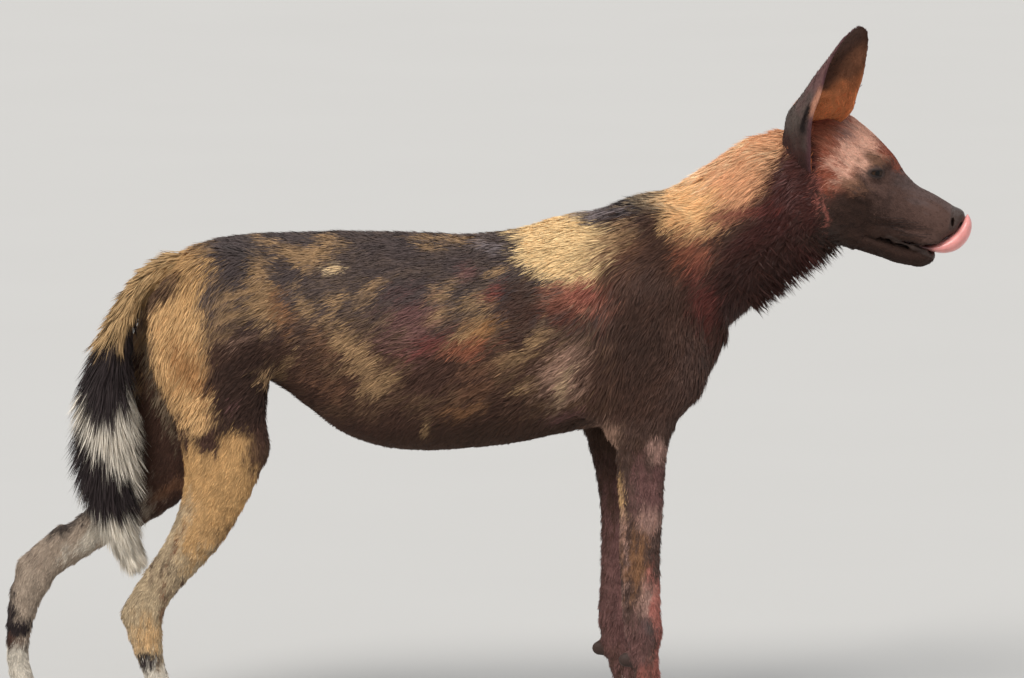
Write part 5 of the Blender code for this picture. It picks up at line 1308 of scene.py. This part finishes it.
def sow_region(region, seed, skin, chosen, count, levels, material):
    """One piece of the coat, over the chosen quads of the skin."""
    points, quads, normals = skin
    quads = quads[chosen]
    middle, _, area = faces_of(points, quads)
    size = coat_length(middle) * blended(middle[:, 0], middle[:, 2], WIDTH)
    wanted = area / size * (1 - ramp(bareness(middle), 0.2, 0.6))
    wanted *= count / wanted.sum()
    roots, outward = sown(points, quads, normals, wanted, seed)
    rng = np.random.default_rng(seed + 1)
    x, z = roots[:, 0], roots[:, 2]
    number = len(roots)
    length = coat_length(roots) * rng.uniform(0.75, 1.25, number)
    width = blended(x, z, WIDTH) * rng.uniform(0.7, 1.3, number)
    wet = wetness(roots)
    depth = np.maximum(coat_depth(x, z), 0.0006)
    lift = np.clip(depth * rng.uniform(0.75, 1.35, number) / (0.62 * length), 0.05, 0.60)
    ways = lie(roots, outward) + rng.normal(0, STRAY, (number, 3))
    ways += outward * (lift - (ways * outward).sum(axis=1))[:, None]
    ways /= np.linalg.norm(ways, axis=1)[:, None]
    bend = -outward * (0.38 * lift)[:, None] + rng.normal(0, 0.04, (number, 3))
    gather = (0.10 if region == "head" else 0.25) + 0.55 * wet
    bend += clumped(roots, ways, length, CLUMP, gather, seed)
    drawn = length * rng.uniform(-0.2, 1.0, number)
    tones = coat_tone(roots + ways * drawn[:, None] + rng.normal(0, 0.0014, (number, 3)))
    tones *= rng.uniform(0.82, 1.18, number)[:, None]
    charts = chart_of(region, roots)
    mesh = tuft_mesh("coat_" + region, roots - outward * 0.0005, outward, ways, length, width,
                     bend, tones, wet, charts, levels, seed + 2)
    shown("coat_" + region, mesh, material)


def build_coat(points, quads, material):
    middle, _, _ = faces_of(points, quads)
    x, y, z = middle.T
    head, neck, _, _ = shares(x, z)
    body = tail_share(middle) < 0.5
    is_head = body & (head > 0.5)
    is_neck = body & ~is_head & (neck > 0.5)
    rest = body & ~is_head & ~is_neck
    limb_z = np.where((x > -0.230) & (x < 0.120), 0.350, 0.405)
    is_limb = rest & (z < limb_z)
    trunk = rest & ~is_limb
    skin = (points, quads, point_normals(points, quads))
    sow_region("head", 101, skin, is_head, TUFTS["head"], 2, material)
    sow_region("neck", 111, skin, is_neck, TUFTS["neck"], 2, material)
    sow_region("forelegs", 121, skin, is_limb & (x > 0), TUFTS["forelegs"], 2, material)
    sow_region("hindlegs", 131, skin, is_limb & (x < 0), TUFTS["hindlegs"], 2, material)
    for k, (label, part) in enumerate((
        ("flank_right_rear", (y < 0) & (x < -0.09)),
        ("flank_right_front", (y < 0) & (x >= -0.09)),
        ("flank_left_rear", (y >= 0) & (x < -0.09)),
        ("flank_left_front", (y >= 0) & (x >= -0.09)),
    )):
        sow_region(label, 141 + 10 * k, skin, trunk & part, TUFTS["flank"], 2, material)
    return skin


def tail_row(at):
    """Middle, core and reach of the tail at shares of its length, and the way along it."""
    places = np.linspace(0, 1, len(TAIL_ROWS))
    row = np.stack([np.interp(at, places, TAIL_ROWS[:, k]) for k in range(5)], axis=1)
    slopes = np.gradient(TAIL_ROWS[:, :3], axis=0)
    way = np.stack([np.interp(at, places, slopes[:, k]) for k in range(3)], axis=1)
    way /= np.linalg.norm(way, axis=1)[:, None]
    row[:, :3] += way * (np.maximum(at - 1, 0) * TAIL_LENGTH)[:, None]
    return row, way


def build_tail_coat(material):
    """Coarse straight hair that hangs along the tail and stands out to the brush's reach."""
    rng = np.random.default_rng(71)
    count = TUFTS["tail"]
    at = 0.02 + rng.random(count) ** 0.85 * 0.91
    turn = rng.random(count) * 2 * math.pi
    first, way = tail_row(at)
    brush = ramp(at, 0.22, 0.42) * ramp(at, 1.05, 0.80)
    last, _ = tail_row(at + 0.056 + 0.084 * brush * rng.uniform(0.7, 1.15, count))
    fore = np.cross((0, 1, 0), way)
    radial = fore * np.cos(turn)[:, None] + np.array((0, 1, 0)) * np.sin(turn)[:, None]
    roots = first[:, :3] + radial * (first[:, 3] * TAIL_CORE * 0.9)[:, None]
    stand = 0.15 + 0.92 * rng.random(count) ** 0.55
    tips = last[:, :3] + radial * (last[:, 4] * stand)[:, None]
    ways = tips - roots
    length = np.linalg.norm(ways, axis=1)
    ways /= length[:, None]
    bend = -radial * 0.10 + rng.normal(0, 0.03, (count, 3)) + np.array((0, 0, -0.03))
    bend += clumped(roots, ways, length, 0.016, np.full(count, 0.55), 72)
    normals = radial - ways * (radial * ways).sum(axis=1)[:, None]
    normals /= np.linalg.norm(normals, axis=1)[:, None]
    seen = roots + ways * (length * rng.uniform(0.60, 0.82, count))[:, None]
    tones = tail_tone(seen) * rng.uniform(0.8, 1.2, count)[:, None]
    charts = np.stack([spread_out(at), spread_out(turn)], axis=1)
    width = rng.uniform(0.0011, 0.0021, count)
    mesh = tuft_mesh("coat_tail", roots, normals, ways, length, width, bend, tones,
                     np.full(count, 0.1), charts, 3, 73)
    shown("coat_tail", mesh, material)


def build_fringe(material):
    """Wet locks along the underside of the neck, each of fine tufts that run together at the tip."""
    rng = np.random.default_rng(81)
    neck = Loft(NECK_ROOT, NECK_PITCH, NECK)
    locks, each = FRINGE
    along = rng.uniform(0.098, 0.238, locks)
    turn = np.clip(rng.normal(0, 0.42, locks), -1.1, 1.1)
    top, bottom, half = (through(neck.rows[:, 0], neck.rows[:, k], along) for k in (1, 2, 3))
    x, z = neck.place(along, (top + bottom) / 2 - (top - bottom) / 2 * np.cos(turn))
    root = np.stack([x, half * np.sin(turn), z], axis=1)
    way = np.stack([0.55 + rng.normal(0, 0.16, locks), 0.5 * np.sin(turn), np.full(locks, -0.85)], axis=1)
    way /= np.linalg.norm(way, axis=1)[:, None]
    root -= way * 0.009
    reach = 0.009 + rng.uniform(0.008, 0.024, locks) * (1 - 0.45 * np.abs(turn))
    root, way, reach = (np.repeat(values, each, axis=0) for values in (root, way, reach))
    count = locks * each
    start = root + rng.normal(0, 0.0010, (count, 3))
    tip = root + way * (reach * rng.uniform(0.8, 1.05, count))[:, None]
    tip = tip + rng.normal(0, 0.0004, (count, 3))
    ways = tip - start
    length = np.linalg.norm(ways, axis=1)
    ways /= length[:, None]
    normals = np.cross(ways, rng.normal(0, 1, (count, 3)))
    normals /= np.linalg.norm(normals, axis=1)[:, None]
    tones = coat_tone(start) * rng.uniform(0.8, 1.2, count)[:, None]
    charts = np.stack([spread_out(np.repeat(along, each)), spread_out(np.repeat(turn, each))], axis=1)
    bend = np.repeat(rng.normal(0, 0.08, (locks, 3)) + np.array((0.16, 0, 0)), each, axis=0)
    mesh = tuft_mesh("coat_throat", start, normals, ways, length, np.full(count, 0.0008), bend,
                     tones, np.ones(count), charts, 3, 82)
    shown("coat_throat", mesh, material)


def build_whiskers(points, normals, material):
    """Stiff dark whiskers on the muzzle's sides and a few over each eye."""
    rng = np.random.default_rng(86)
    near = [head_point(0.130 + 0.0095 * k, -0.018 + 0.0065 * row, 0.030) for row in range(4) for k in range(5)]
    near += [head_point(0.058 + 0.005 * k, 0.060, 0.030) for k in range(3)]
    roots, outward = [], []
    for side in (-1, 1):
        for place in near:
            target = np.array(place) * (1, side, 1) + rng.normal(0, 0.0015, 3)
            pick = int(np.argmin(((points - target) ** 2).sum(axis=1)))
            roots.append(points[pick])
            outward.append(normals[pick])
    roots, outward = np.array(roots), np.array(outward)
    count = len(roots)
    ways = outward * 0.75 + np.array(head_direction(-0.62, -0.10, 0.0)) + rng.normal(0, 0.08, (count, 3))
    ways /= np.linalg.norm(ways, axis=1)[:, None]
    bend = np.tile(np.array(head_direction(-0.30, -0.16, 0.0)), (count, 1))
    charts = np.stack([spread_out(roots[:, 0]), spread_out(np.arctan2(roots[:, 1], roots[:, 2]))], axis=1)
    mesh = tuft_mesh("whiskers", roots, outward, ways, rng.uniform(0.014, 0.030, count), np.full(count, 0.0006),
                     bend, plain("whisker", count), np.full(count, 0.3), charts, 3, 87)
    shown("whiskers", mesh, material)


def build_ear_coat(ears, material):
    """Short hair up the back of each ear, and thinner, longer hair inside it."""
    rng = np.random.default_rng(91)
    gathered = []
    for side, (sheet, normal, share_up, share_round) in ears.items():
        half = len(sheet) // 2
        for inside in (0, 1):
            layer = sheet[half * inside : half * (inside + 1)].reshape(EAR_UP, EAR_ROUND, 3)
            facing = normal.reshape(EAR_UP, EAR_ROUND, 3) * (1 - 2 * inside)
            count = TUFTS["ear_inside" if inside else "ear_back"]
            i = np.clip(rng.beta(1.0, 1.0 + 0.8 * inside, count) * (EAR_UP - 1), 0, EAR_UP - 1.001)
            j = rng.random(count) * (EAR_ROUND - 1.001)
            a, b = i.astype(int), j.astype(int)
            u, v = (i - a)[:, None], (j - b)[:, None]

            def mixed(values):
                low = values[a, b] * (1 - v) + values[a, b + 1] * v
                high = values[a + 1, b] * (1 - v) + values[a + 1, b + 1] * v
                return low * (1 - u) + high * u

            roots, outward = mixed(layer), mixed(facing)
            outward /= np.linalg.norm(outward, axis=1)[:, None]
            ways = layer[a + 1, b] - layer[a, b]
            ways /= np.linalg.norm(ways, axis=1)[:, None]
            place_up, place_round = i / (EAR_UP - 1), 2 * j / (EAR_ROUND - 1) - 1
            length = np.where(inside, 0.0035 + 0.007 * ramp(place_up, 0.55, 0.10), 0.0045)
            length = length + inside * 0.004 * ramp(-place_round, 0.70, 0.95) * ramp(place_up, 0.75, 0.50)
            length = length * rng.uniform(0.7, 1.3, count)
            lift = (0.30 if inside else 0.17) * rng.uniform(0.6, 1.4, count)
            ways = ways + outward * lift[:, None] + rng.normal(0, 0.15, (count, 3))
            ways /= np.linalg.norm(ways, axis=1)[:, None]
            tones = ear_tone(roots, place_up, place_round, np.full(count, float(inside)))
            tones *= rng.uniform(0.8, 1.25, count)[:, None]
            quarter = (side > 0) * 2 + inside
            chart = np.stack([spread_out(i), (quarter + spread_out(j)) / 4.04], axis=1)
            bend = -outward * (0.35 * lift)[:, None]
            width = np.full(count, 0.0008)
            gathered.append((roots, outward, ways, length, width, bend, tones, chart))
    roots, outward, ways, length, width, bend, tones, chart = (np.concatenate(v) for v in zip(*gathered))
    mesh = tuft_mesh("coat_ears", roots, outward, ways, length, width, bend, tones,
                     np.zeros(len(roots)), chart, 2, 92)
    shown("coat_ears", mesh, material)


def build_eye(side, material):
    """An eyeball turned to look out of the lids; its own Z axis is the way it looks."""
    mesh = bmesh.new()
    bmesh.ops.create_uvsphere(mesh, u_segments=48, v_segments=32, radius=EYE_RADIUS - 0.0001)
    data = bpy.data.meshes.new("eyeball")
    mesh.to_mesh(data)
    mesh.free()
    data.polygons.foreach_set("use_smooth", np.ones(len(data.polygons), bool))
    name = "eye_left" if side > 0 else "eye_right"
    eye = shown("eyeball_left" if side > 0 else "eyeball_right", data, material, name)
    look = head_direction(*EYE_LOOK, side)
    eye.rotation_mode = "QUATERNION"
    eye.rotation_quaternion = look.to_track_quat("Z", "Y")
    eye.location = head_point(*EYE_AT, side) - Vector(CENTRE)


def ring_tube(rings, closed):
    """Points and quads of a tube through rings of points, which may run round on itself."""
    around = len(rings[0])
    points = np.concatenate(rings)
    quads = []
    last = len(rings) if closed else len(rings) - 1
    for i in range(last):
        for j in range(around):
            k, nxt = (j + 1) % around, (i + 1) % len(rings)
            quads.append((i * around + j, i * around + k, nxt * around + k, nxt * around + j))
    return points, np.array(quads)


def build_lids(material):
    """The dark rims of the eyelids, almond-shaped and drawn out towards the nose."""
    sheets = []
    for side in (-1, 1):
        eye, look, front, top = eye_axes(side)
        rings = []
        for step in range(48):
            turn = 2 * math.pi * step / 48
            cos, sin = math.cos(turn), math.sin(turn)
            wide, high = math.radians(58), math.radians(26 if sin > 0 else 23)
            spread = (abs(cos / wide) ** 1.75 + abs(sin / high) ** 1.75) ** (-1 / 1.75)
            spread *= 1 + 0.14 * max(cos, 0) ** 6
            way = look * math.cos(spread) + (front * cos + top * sin) * math.sin(spread)
            outer = -look * math.sin(spread) + (front * cos + top * sin) * math.cos(spread)
            middle = eye + way * (EYE_RADIUS + 0.0004)
            ring = []
            for k in range(10):
                angle = 2 * math.pi * k / 10
                ring.append(middle + way * (0.0012 * math.cos(angle)) + outer * (0.0020 * math.sin(angle)))
            rings.append(np.array(ring))
        points, quads = ring_tube(rings, True)
        if side > 0:
            quads = quads[:, ::-1]
        sheets.append((points, quads))
    mesh = quad_mesh("eyelids", sheets)
    count = len(mesh.vertices)
    paint(mesh, plain("eyelid", count), np.full(count, 0.7))
    shown("eyelids", mesh, material)


def build_tongue(material):
    """The tongue, hollowed along its upper face and rounded at the tip."""
    rows = resampled([(x, 0.0, z, deep, wide) for x, z, deep, wide in TONGUE], 44)
    rings = []
    for i, (x, _, z, deep, wide) in enumerate(rows):
        before, after = rows[max(i - 1, 0)], rows[min(i + 1, len(rows) - 1)]
        line = np.array((after[0] - before[0], 0, after[2] - before[2]))
        line /= np.linalg.norm(line)
        side = np.array((-line[2], 0, line[0]))
        round_off = math.sqrt(max(1 - max(i / 43 - 0.90, 0) ** 2 / 0.0101, 0.02))
        ring = []
        for j in range(32):
            angle = 2 * math.pi * j / 32
            up, out = math.cos(angle), math.sin(angle)
            hollow = 0.28 * max(up, 0) * math.exp(-((out / 0.35) ** 2))
            ring.append(np.array((x, 0, z)) + side * (deep * round_off * (up - hollow))
                        + np.array((0, wide * round_off * out, 0)))
        rings.append(np.array(ring))
    points, quads = ring_tube(rings, False)
    mesh = quad_mesh("tongue", [(points, quads)])
    # The tongue's back, inside the mouth, is painted dark as shade
    deep = ramp(points[:, 0], 0.592, 0.574)[:, None]
    colours = plain("tongue", 1) * (1 - deep) + plain("tongue_root_in_shade", 1) * deep
    paint(mesh, colours, np.ones(len(points)))
    shown("tongue_flesh", mesh, material, "tongue")


def build_claws(name, material):
    """The four curved claws of one foot, each from the tip of its toe."""
    x, y, size = FEET[name]
    sheets = []
    for out, reach in TOES:
        root = np.array((x + (reach + 0.001) * size, y + 1.08 * out * size, 0.0165 * size))
        rings = []
        for i in range(10):
            share = i / 9
            centre = root + np.array((0.0180 * share, out * 0.12 * share, 0.0010 - 0.0105 * share * share))
            tilt = -math.atan2(0.021 * share, 0.018)
            up = np.array((-math.sin(tilt), 0, math.cos(tilt)))
            taper = 1 - 0.86 * share ** 1.4
            ring = [centre + up * (0.0036 * taper * math.cos(a)) + np.array((0, 0.0026 * taper * math.sin(a), 0))
                    for a in np.linspace(0, 2 * math.pi, 12, endpoint=False)]
            rings.append(np.array(ring))
        sheets.append(ring_tube(rings, False))
    mesh = quad_mesh("claws_" + name, sheets)
    shown("claws_" + name, mesh, material, *("claw_" + name + "_" + str(k) for k in (1, 2, 3, 4)))


# Finishes


def principled(name, **values):
    material = bpy.data.materials.new(name)
    material.use_nodes = True
    shader = material.node_tree.nodes["Principled BSDF"]
    for socket, value in values.items():
        shader.inputs[socket.replace("_", " ")].default_value = value
    return material, material.node_tree, shader


def node(tree, kind, links=(), **values):
    """A node with its properties set and its inputs linked or given."""
    made = tree.nodes.new(kind)
    for key, value in values.items():
        setattr(made, key, value)
    for socket, source in links:
        if isinstance(source, bpy.types.NodeSocket):
            tree.links.new(source, made.inputs[socket])
        else:
            made.inputs[socket].default_value = source
    return made


def spread(tree, value, low, high):
    """The value, from 0 to 1, stretched to run from low to high."""
    made = node(tree, "ShaderNodeMapRange", [(0, value), (3, low), (4, high)])
    return made.outputs[0]


def grain(tree, size, detail=2.0):
    """Noise with features of about this size, in the object's own space."""
    place = node(tree, "ShaderNodeTexCoord").outputs["Object"]
    made = node(tree, "ShaderNodeTexNoise", [("Vector", place), ("Scale", 1 / size), ("Detail", detail)])
    return made.outputs["Fac"]


def tinted(tree, colour, amount):
    """The colour made lighter and darker by an amount from 0 to 1."""
    made = node(tree, "ShaderNodeVectorMath", [(0, colour), ("Scale", amount)], operation="SCALE")
    return made.outputs[0]


def skin_material():
    """Fine-grained skin, pebbled and moist where it is bare."""
    material, tree, shader = principled("skin", Specular_IOR_Level=0.22)
    tone = node(tree, "ShaderNodeAttribute", attribute_name="tone")
    fine = grain(tree, 0.0016, 3.0)
    tint = tinted(tree, tone.outputs["Color"], spread(tree, fine, 0.70, 1.30))
    tree.links.new(tint, shader.inputs["Base Color"])
    tree.links.new(spread(tree, tone.outputs["Alpha"], 0.78, 0.30), shader.inputs["Roughness"])
    place = node(tree, "ShaderNodeTexCoord").outputs["Object"]
    cells = node(tree, "ShaderNodeTexVoronoi", [("Vector", place), ("Scale", 1100.0)])
    pebble = node(tree, "ShaderNodeMath", [(0, cells.outputs["Distance"]), (1, tone.outputs["Alpha"])],
                  operation="MULTIPLY")
    height = node(tree, "ShaderNodeMath", [(0, pebble.outputs[0]), (1, fine)], operation="ADD")
    bump = node(tree, "ShaderNodeBump", [("Strength", 0.6), ("Distance", 0.0008), ("Height", height.outputs[0])])
    tree.links.new(bump.outputs["Normal"], shader.inputs["Normal"])
    return material


def coat_material():
    """Hair, glossier where it is wet."""
    material, tree, shader = principled("coat", Specular_IOR_Level=0.18, Sheen_Weight=0.06, Sheen_Roughness=0.5)
    tone = node(tree, "ShaderNodeAttribute", attribute_name="tone")
    fine = grain(tree, 0.0012)
    tint = tinted(tree, tone.outputs["Color"], spread(tree, fine, 0.75, 1.25))
    tree.links.new(tint, shader.inputs["Base Color"])
    tree.links.new(spread(tree, tone.outputs["Alpha"], 0.74, 0.48), shader.inputs["Roughness"])
    return material


def eye_material():
    """A dark brown iris with radial streaks round a round pupil, under a clear wet coat."""
    material, tree, shader = principled(
        "eye", Roughness=0.40, Coat_Weight=0.22, Coat_Roughness=0.03, Specular_IOR_Level=0.10)
    place = node(tree, "ShaderNodeTexCoord").outputs["Object"]
    parts = node(tree, "ShaderNodeSeparateXYZ", [(0, place)])
    height = node(tree, "ShaderNodeMath", [(0, parts.outputs["Z"]), (1, EYE_RADIUS)], operation="DIVIDE")
    ramp_node = node(tree, "ShaderNodeValToRGB", [(0, height.outputs[0])])
    stops = ((0.0, (0.06, 0.04, 0.032)), (0.62, (0.035, 0.020, 0.015)), (0.66, (0.006, 0.004, 0.003)),
             (0.72, (0.018, 0.008, 0.004)), (0.88, (0.036, 0.016, 0.006)), (0.940, (0.018, 0.008, 0.004)),
             (0.950, (0.0015, 0.001, 0.001)))
    elements = ramp_node.color_ramp.elements
    while len(elements) < len(stops):
        elements.new(1.0)
    for element, (place_at, colour) in zip(elements, stops):
        element.position, element.color = place_at, (*colour, 1)
    flat = node(tree, "ShaderNodeVectorMath", [(0, place), (1, (1, 1, 0))], operation="MULTIPLY")
    unit = node(tree, "ShaderNodeVectorMath", [(0, flat.outputs[0])], operation="NORMALIZE")
    rays = node(tree, "ShaderNodeTexNoise", [("Vector", unit.outputs[0]), ("Scale", 14.0), ("Detail", 3.0)])
    tint = tinted(tree, ramp_node.outputs[0], spread(tree, rays.outputs["Fac"], 0.5, 1.5))
    tree.links.new(tint, shader.inputs["Base Color"])
    return material


def tongue_material():
    material, tree, shader = principled(
        "tongue", Roughness=0.34, Subsurface_Weight=0.15, Subsurface_Scale=0.004, Coat_Weight=0.35,
        Coat_Roughness=0.15)
    broad, fine = grain(tree, 0.012, 3.0), grain(tree, 0.0009, 1.0)
    tone = node(tree, "ShaderNodeAttribute", attribute_name="tone")
    tint = tinted(tree, tone.outputs["Color"], spread(tree, broad, 0.7, 1.2))
    tree.links.new(tint, shader.inputs["Base Color"])
    bump = node(tree, "ShaderNodeBump", [("Strength", 0.5), ("Distance", 0.0005), ("Height", fine)])
    tree.links.new(bump.outputs["Normal"], shader.inputs["Normal"])
    return material


def claw_material():
    material, tree, shader = principled("claw", Roughness=0.35, Specular_IOR_Level=0.5)
    streaks = grain(tree, 0.002, 3.0)
    dark, light = ((*linear(TONES[name]), 1) for name in ("claw_dark", "claw_light"))
    mix = node(tree, "ShaderNodeMix", [(0, streaks), (6, dark), (7, light)], data_type="RGBA")
    tree.links.new(mix.outputs[2], shader.inputs["Base Color"])
    return material


def floor_material():
    material, tree, shader = principled("floor", Roughness=0.9, Specular_IOR_Level=0.1)
    cloud = grain(tree, 0.6)
    mix = node(tree, "ShaderNodeMix", [(0, cloud), (6, (0.475, 0.470, 0.455, 1)), (7, (0.490, 0.485, 0.470, 1))],
               data_type="RGBA")
    tree.links.new(mix.outputs[2], shader.inputs["Base Color"])
    return material


# Camera, floor and light


def aim(obj, target):
    obj.rotation_mode = "QUATERNION"
    obj.rotation_quaternion = (Vector(target) - obj.location).to_track_quat("-Z", "Y")


def add_camera():
    camera = bpy.data.objects.new("camera", bpy.data.cameras.new("camera"))
    bpy.context.scene.collection.objects.link(camera)
    target = Vector((VIEW["target_x"], -CENTRE[1], VIEW["target_z"]))
    climb = math.radians(VIEW["elevation"])
    camera.location = target + Vector((0, -math.cos(climb), math.sin(climb))) * VIEW["distance"]
    aim(camera, target)
    camera.data.sensor_width = 36.0
    camera.data.lens = 36.0 * VIEW["distance"] / VIEW["width"]
    camera.data.clip_end = 100.0
    bpy.context.scene.camera = camera


def add_floor():
    mesh = bpy.data.meshes.new("floor")
    half = 60.0
    mesh.from_pydata([(-half, -half, 0), (half, -half, 0), (half, half, 0), (-half, half, 0)], [], [(0, 1, 2, 3)])
    floor = bpy.data.objects.new("floor", mesh)
    bpy.context.scene.collection.objects.link(floor)
    mesh.materials.append(floor_material())


def add_lights():
    for name, (way, width, strength, colour) in LIGHTS.items():
        light = bpy.data.lights.new(name, "SUN")
        light.angle, light.energy, light.color = math.radians(width), strength, colour
        lamp = bpy.data.objects.new(name, light)
        bpy.context.scene.collection.objects.link(lamp)
        lamp.location = Vector(way) * 3
        aim(lamp, (0, 0, 0))
    world = bpy.data.worlds.new("world")
    world.use_nodes = True
    world.node_tree.nodes["Background"].inputs[0].default_value = (0.94, 0.96, 1.0, 1)
    world.node_tree.nodes["Background"].inputs[1].default_value = AIR
    bpy.context.scene.world = world
    bpy.context.scene.view_settings.view_transform = "Standard"


def main():
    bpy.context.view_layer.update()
    skin, coat = skin_material(), coat_material()
    points, quads, ears = build_skin(skin)
    _, _, normals = build_coat(points, quads, coat)
    build_whiskers(points, normals, coat)
    build_tail_coat(coat)
    build_fringe(coat)
    build_ear_coat(ears, coat)
    eye, claw = eye_material(), claw_material()
    for side in (-1, 1):
        build_eye(side, eye)
    build_lids(skin)
    build_tongue(tongue_material())
    for name in FEET:
        build_claws(name, claw)
    add_camera()
    add_floor()
    add_lights()


main()
